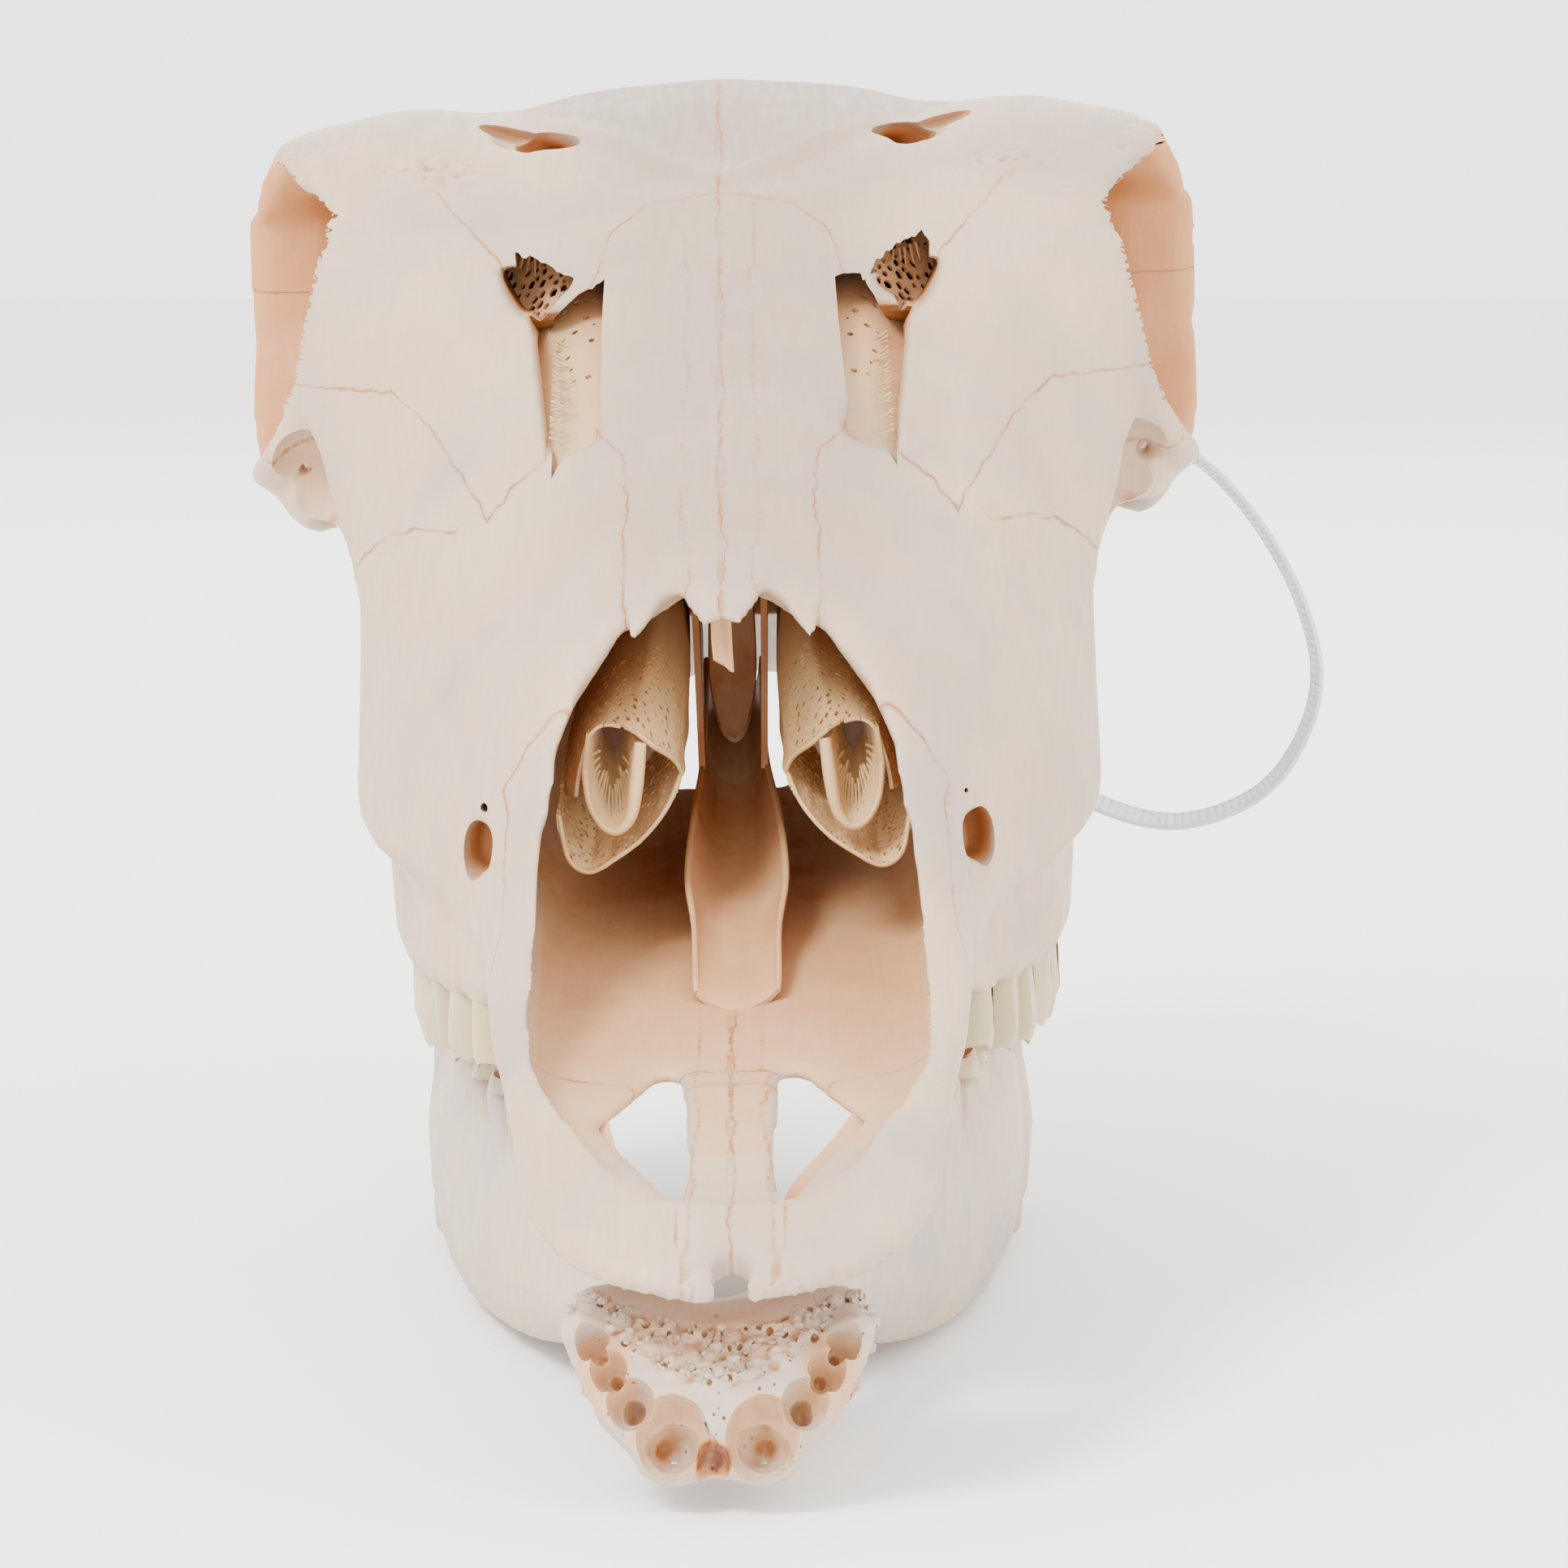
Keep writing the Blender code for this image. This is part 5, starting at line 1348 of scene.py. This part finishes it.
# the walls of the septum, above the deep end of the trough
wallRows = (((0, 150, 82.6), (0, 152, 92), (0, 150, 104), (0, 146, 113)), ((0, 190, 99), (0, 190, 104), (0, 190, 110),
            (0, 188, 119)))
walls = []
for x, slant in ((-4.2, -0.4), (5.4, 0.4)):
    rows = [[Vector((x + slant * (p[2] - 90) / 20, p[1], p[2])) for p in row] for row in wallRows]
    walls.append(thicken(sheet("wall", bent(rows), 20, 24), 1.0))
tongueRows = (((-2.4, 168, 108), (0.8, 169, 108), (4.0, 168, 108)), ((-2.8, 167, 95), (0.8, 168, 95.5), (4.2, 167, 95)),
              ((-1.4, 163, 88), (0.8, 163.5, 87.4), (2.8, 163, 88)), ((0.2, 161.5, 85.8), (0.8, 161.5, 85.6),
              (1.4, 161.5, 85.8)))
tongue = thicken(sheet("tongue", bent(tongueRows), 16, 30), 0.8)
vomer = joinAll("vomerTrough", [trough, rimLeft, rimRight, tongue] + walls)

scrapRows = (((-1.5, 104, 111), (-0.2, 105, 111), (1.0, 104, 111)), ((-1.4, 103, 106), (-0.1, 104, 106), (1.1, 103, 106)),
             ((-1.2, 102.4, 103.6), (0.2, 103.2, 102.6), (1.3, 102.4, 101.8)))
scrap = thicken(sheet("septumScrap", bent(scrapRows), 10, 14), 0.6)


# Behind the gaps: a smooth plate, a lace of thin bone and bristles from the torn edges
plateRows = (
    ((17.0, 148, 126), (19.5, 149, 125.5), (23, 151, 125), (28, 154, 124.5)),
    ((17.0, 168, 135), (19.5, 169, 135), (23, 172, 135), (28, 180, 135)),
    ((17.0, 187, 144), (19.5, 188, 144.5), (23, 191, 145), (29, 201, 146)),
    ((17.0, 205, 153), (20, 206, 154), (24.5, 209, 155), (33, 214, 157)),
)
laceRows = (
    ((23, 196, 144), (26, 198, 144.5), (29, 202, 145), (34, 207, 146)),
    ((23, 203, 151), (26, 205, 151.5), (29, 208, 152), (34, 212, 153)),
    ((23, 210, 159), (26, 211, 160), (29, 213, 161), (34, 215, 161)),
)


def behindGaps(name):
    plate = thicken(sheet(name + " plate", bent(plateRows), 24, 40), 0.7)
    pierce(plate, 26, 2.2, (0.3, 0.75), 31, lambda p: p.z > 139 and p.x > 19, (1, 1.2, 2.2))
    carve(plate, ball("deep hole", (27.5, 204, 151.5), (3.8, 14, 4.2), (0, 0, 0)))
    lace = thicken(sheet(name + " lace", bent(laceRows), 24, 30), 0.5)
    pierce(lace, 120, 1.5, (0.5, 0.85), 32, None, (1, 1.25, 2.2))
    parts = [plate, lace]
    pick = random.Random(33)
    for k in range(20):
        t = k / 19
        root = Vector((25.8 - 0.2 * t, 158 + 32 * t + 3 * pick.random(), 132 + 13 * t))
        tip = root + Vector((-pick.uniform(1.4, 3.6), pick.uniform(-4, 1), pick.uniform(-1.6, 1.8)))
        parts.append(tube(name + " bristle", (root, root.lerp(tip, 0.5) + Vector((0, 0, -0.3)), tip),
                          (0.2, 0.15, 0.08), 6, 8))
    for k in range(9):
        root = Vector((23.5 + k * 0.85, 208, 155 + 0.35 * k))
        tip = root + Vector((pick.uniform(-0.8, 0.8), pick.uniform(-3, 0), -pick.uniform(1.4, 3.4)))
        parts.append(tube(name + " bristle", (root, root.lerp(tip, 0.5), tip), (0.3, 0.2, 0.1), 6, 8))
    return joinAll(name, parts)


ethmoidRight = behindGaps("ethmoidRight")
ethmoidLeft = mirror(ethmoidRight, "ethmoidLeft")

# Thin curled flanges inside the arms of the snout, beside the holes of the palate
flangeRows = {
    "Left": (((-16.9, 54, 46.2), (-15.6, 47, 42.4), (-13.0, 41, 39.6), (-9.9, 35.6, 37.6), (-8.4, 30, 36.2)),
             ((-18.6, 53, 45.4), (-17.6, 45.6, 41.4), (-15.2, 39, 38.4), (-12, 33, 36.4), (-9.2, 27, 35.2)),
             ((-21.2, 51, 44.4), (-20.6, 43, 40.2), (-18.6, 36, 37.2), (-15, 29.6, 35.4), (-11, 24.6, 34.2))),
    "Right": (((17.1, 54, 46.2), (13.4, 47, 42.6), (9.6, 40.6, 39.8), (7.4, 35, 37.8), (6.6, 29, 36.2)),
              ((18.8, 53, 45.4), (15.8, 45.6, 41.4), (12.2, 38.6, 38.4), (9.6, 32.6, 36.4), (8.4, 27, 35.2)),
              ((21.2, 51, 44.4), (19.4, 43, 40.2), (16.4, 35.6, 37.2), (13, 29.4, 35.4), (10.6, 24.6, 34.2))),
}
flanges = [thicken(sheet("flange" + word, bent(rows), 60, 14), 0.55) for word, rows in flangeRows.items()]

for obj in flanges + [ethmoidLeft, ethmoidRight]:
    paintDepth(obj, field, values)
    dress(obj, scrollBone if "ethmoid" in obj.name else bleached, "bone")
for obj in (turbinateLeft, turbinateRight, vomer, scrap):
    paintDepth(obj, field, values)
dress(turbinateLeft, scrollBone, "inner_bone", "turbinate_left")
dress(turbinateRight, scrollBone, "inner_bone", "turbinate_right")
dress(vomer, scrollBone, "inner_bone", "vomer")
dress(scrap, scrollBone, "inner_bone")
print(round(time.time() - started, 1), "nose built:", len(turbinateRight.data.polygons), len(vomer.data.polygons), "faces")

# Cable tie: a flat nylon strap with a ladder of fine steps, and its lock
tie = {
    "path": ((68.4, 266, 123.4), (76.8, 266, 118.8), (84.9, 267, 109.6), (91.6, 268, 97.6), (94.7, 269, 85),
             (92, 271, 73.4), (84.8, 273, 64.4), (72.2, 276, 59.8), (59, 279, 62.6), (46.6, 282, 70), (36.4, 281, 81),
             (33.8, 275.5, 93), (36.6, 270.5, 104), (43.6, 268.5, 112.4), (52.4, 268, 119.4), (60.4, 267, 124)),
    "width": 3.4,
    "thickness": 1.15,
    "twistDegrees": 30,
    "stepDepth": 0.16,
    "stepPitch": 1.25,
    "lock": ((30.8, 272.4, 87), (34.8, 278.8, 92)),
}


def loopPoint(path, t):
    count = len(path)
    i = int(t * count) % count
    f = t * count - int(t * count)
    a, b, c, d = [Vector(path[(i + k) % count]) for k in (-1, 0, 1, 2)]
    return 0.5 * ((2 * b) + (c - a) * f + (2 * a - 5 * b + 4 * c - d) * f * f + (3 * b - a - 3 * c + d) * f ** 3)


tieMiddle = sum((Vector(p) for p in tie["path"]), Vector()) / len(tie["path"])
tieLength = sum((loopPoint(tie["path"], (k + 1) / 200) - loopPoint(tie["path"], k / 200)).length for k in range(200))


def strapSurface(u, v):
    t = v % 1.0
    centre = loopPoint(tie["path"], t)
    ahead = (loopPoint(tie["path"], t + 0.004) - loopPoint(tie["path"], (t - 0.004) % 1.0)).normalized()
    out = centre - tieMiddle
    out = (out - ahead * out.dot(ahead)).normalized()
    side = ahead.cross(out)
    twist = math.radians(tie["twistDegrees"])
    wide = side * math.cos(twist) + out * math.sin(twist)
    thick = out * math.cos(twist) - side * math.sin(twist)
    a = u * math.tau
    x = math.copysign(abs(math.cos(a)) ** 0.35, math.cos(a))
    y = math.copysign(abs(math.sin(a)) ** 0.5, math.sin(a))
    step = 0.0
    if y < -0.5 and abs(x) < 0.72:
        step = tie["stepDepth"] * (0.5 + 0.5 * math.copysign(1, math.sin(t * tieLength / tie["stepPitch"] * math.tau)))
    return centre + wide * x * tie["width"] / 2 + thick * (y * tie["thickness"] / 2 + step)


strap = sheet("strap", strapSurface, 32, 1100, tiePlace)
low, high = tie["lock"]
lock = block("lock", low, high, tiePlace)
soften = lock.modifiers.new("soften", "BEVEL")
soften.width = 0.5 * mm
soften.segments = 3
freeze(lock)
cableTie = joinAll("cableTie", [strap, lock])
dress(cableTie, clearNylon, "nylon", "cable_tie")
print(round(time.time() - started, 1), "cable tie built:", len(cableTie.data.polygons), "faces")


# Floor, light and camera
studio = {"floorSize": 6.0, "floorColour": "#F3F2F0", "worldStrength": 3.1}
bm = bmesh.new()
bmesh.ops.create_grid(bm, x_segments=1, y_segments=1, size=studio["floorSize"] / 2)
floor = finishMesh("floor", bm)
floor.location.z = -0.0002
paper = bpy.data.materials.new("pale paper sweep")
paper.use_nodes = True
paperTree = paper.node_tree
paperPlace = node(paperTree, "ShaderNodeTexCoord").outputs["Object"]
fleck = node(paperTree, "ShaderNodeTexNoise", Vector=paperPlace, Scale=sizeOf(2.5), Detail=3.0).outputs["Fac"]
paperTree.links.new(mix(paperTree, fleck, studio["floorColour"], "#EFEEEC"),
                    paperTree.nodes["Principled BSDF"].inputs["Base Color"])
paperTree.nodes["Principled BSDF"].inputs["Roughness"].default_value = 0.85
floor.data.materials.append(paper)
floor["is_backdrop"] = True

world = bpy.data.worlds.new("studio")
bpy.context.scene.world = world
world.use_nodes = True
world.node_tree.nodes["Background"].inputs["Color"].default_value = (1, 1, 1, 1)
world.node_tree.nodes["Background"].inputs["Strength"].default_value = studio["worldStrength"]


def softbox(name, place, aim, size, power):
    light = bpy.data.lights.new(name, "AREA")
    light.shape = "SQUARE"
    light.size = size
    light.energy = power
    obj = bpy.data.objects.new(name, light)
    obj.location = place
    obj.rotation_euler = (Vector(aim) - Vector(place)).to_track_quat("-Z", "Y").to_euler()
    bpy.context.scene.collection.objects.link(obj)
    return obj


softbox("key", (-0.9, -1.2, 1.5), (0, 0, 0.1), 0.6, 70)
softbox("fill", (1.2, -1.1, 0.7), (0, 0, 0.1), 1.0, 14)
softbox("behind", (0.0, 1.4, 1.0), (0, 0, 0.1), 1.2, 16)

view = {"lens": 176.54, "sensor": 36.0, "place": (7.28, -986.1, 209.8), "pitch": 83.5}
camera = bpy.data.cameras.new("camera")
camera.lens = view["lens"]
camera.sensor_width = view["sensor"]
cameraObject = bpy.data.objects.new("camera", camera)
cameraObject.location = onTable @ Vector(view["place"])
cameraObject.rotation_euler = (math.radians(view["pitch"]), 0, 0)
bpy.context.scene.collection.objects.link(cameraObject)
bpy.context.scene.camera = cameraObject

boundsAfter = [list(corner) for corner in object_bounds()]
print(round(time.time() - started, 1), "visual box:", boundsAfter)
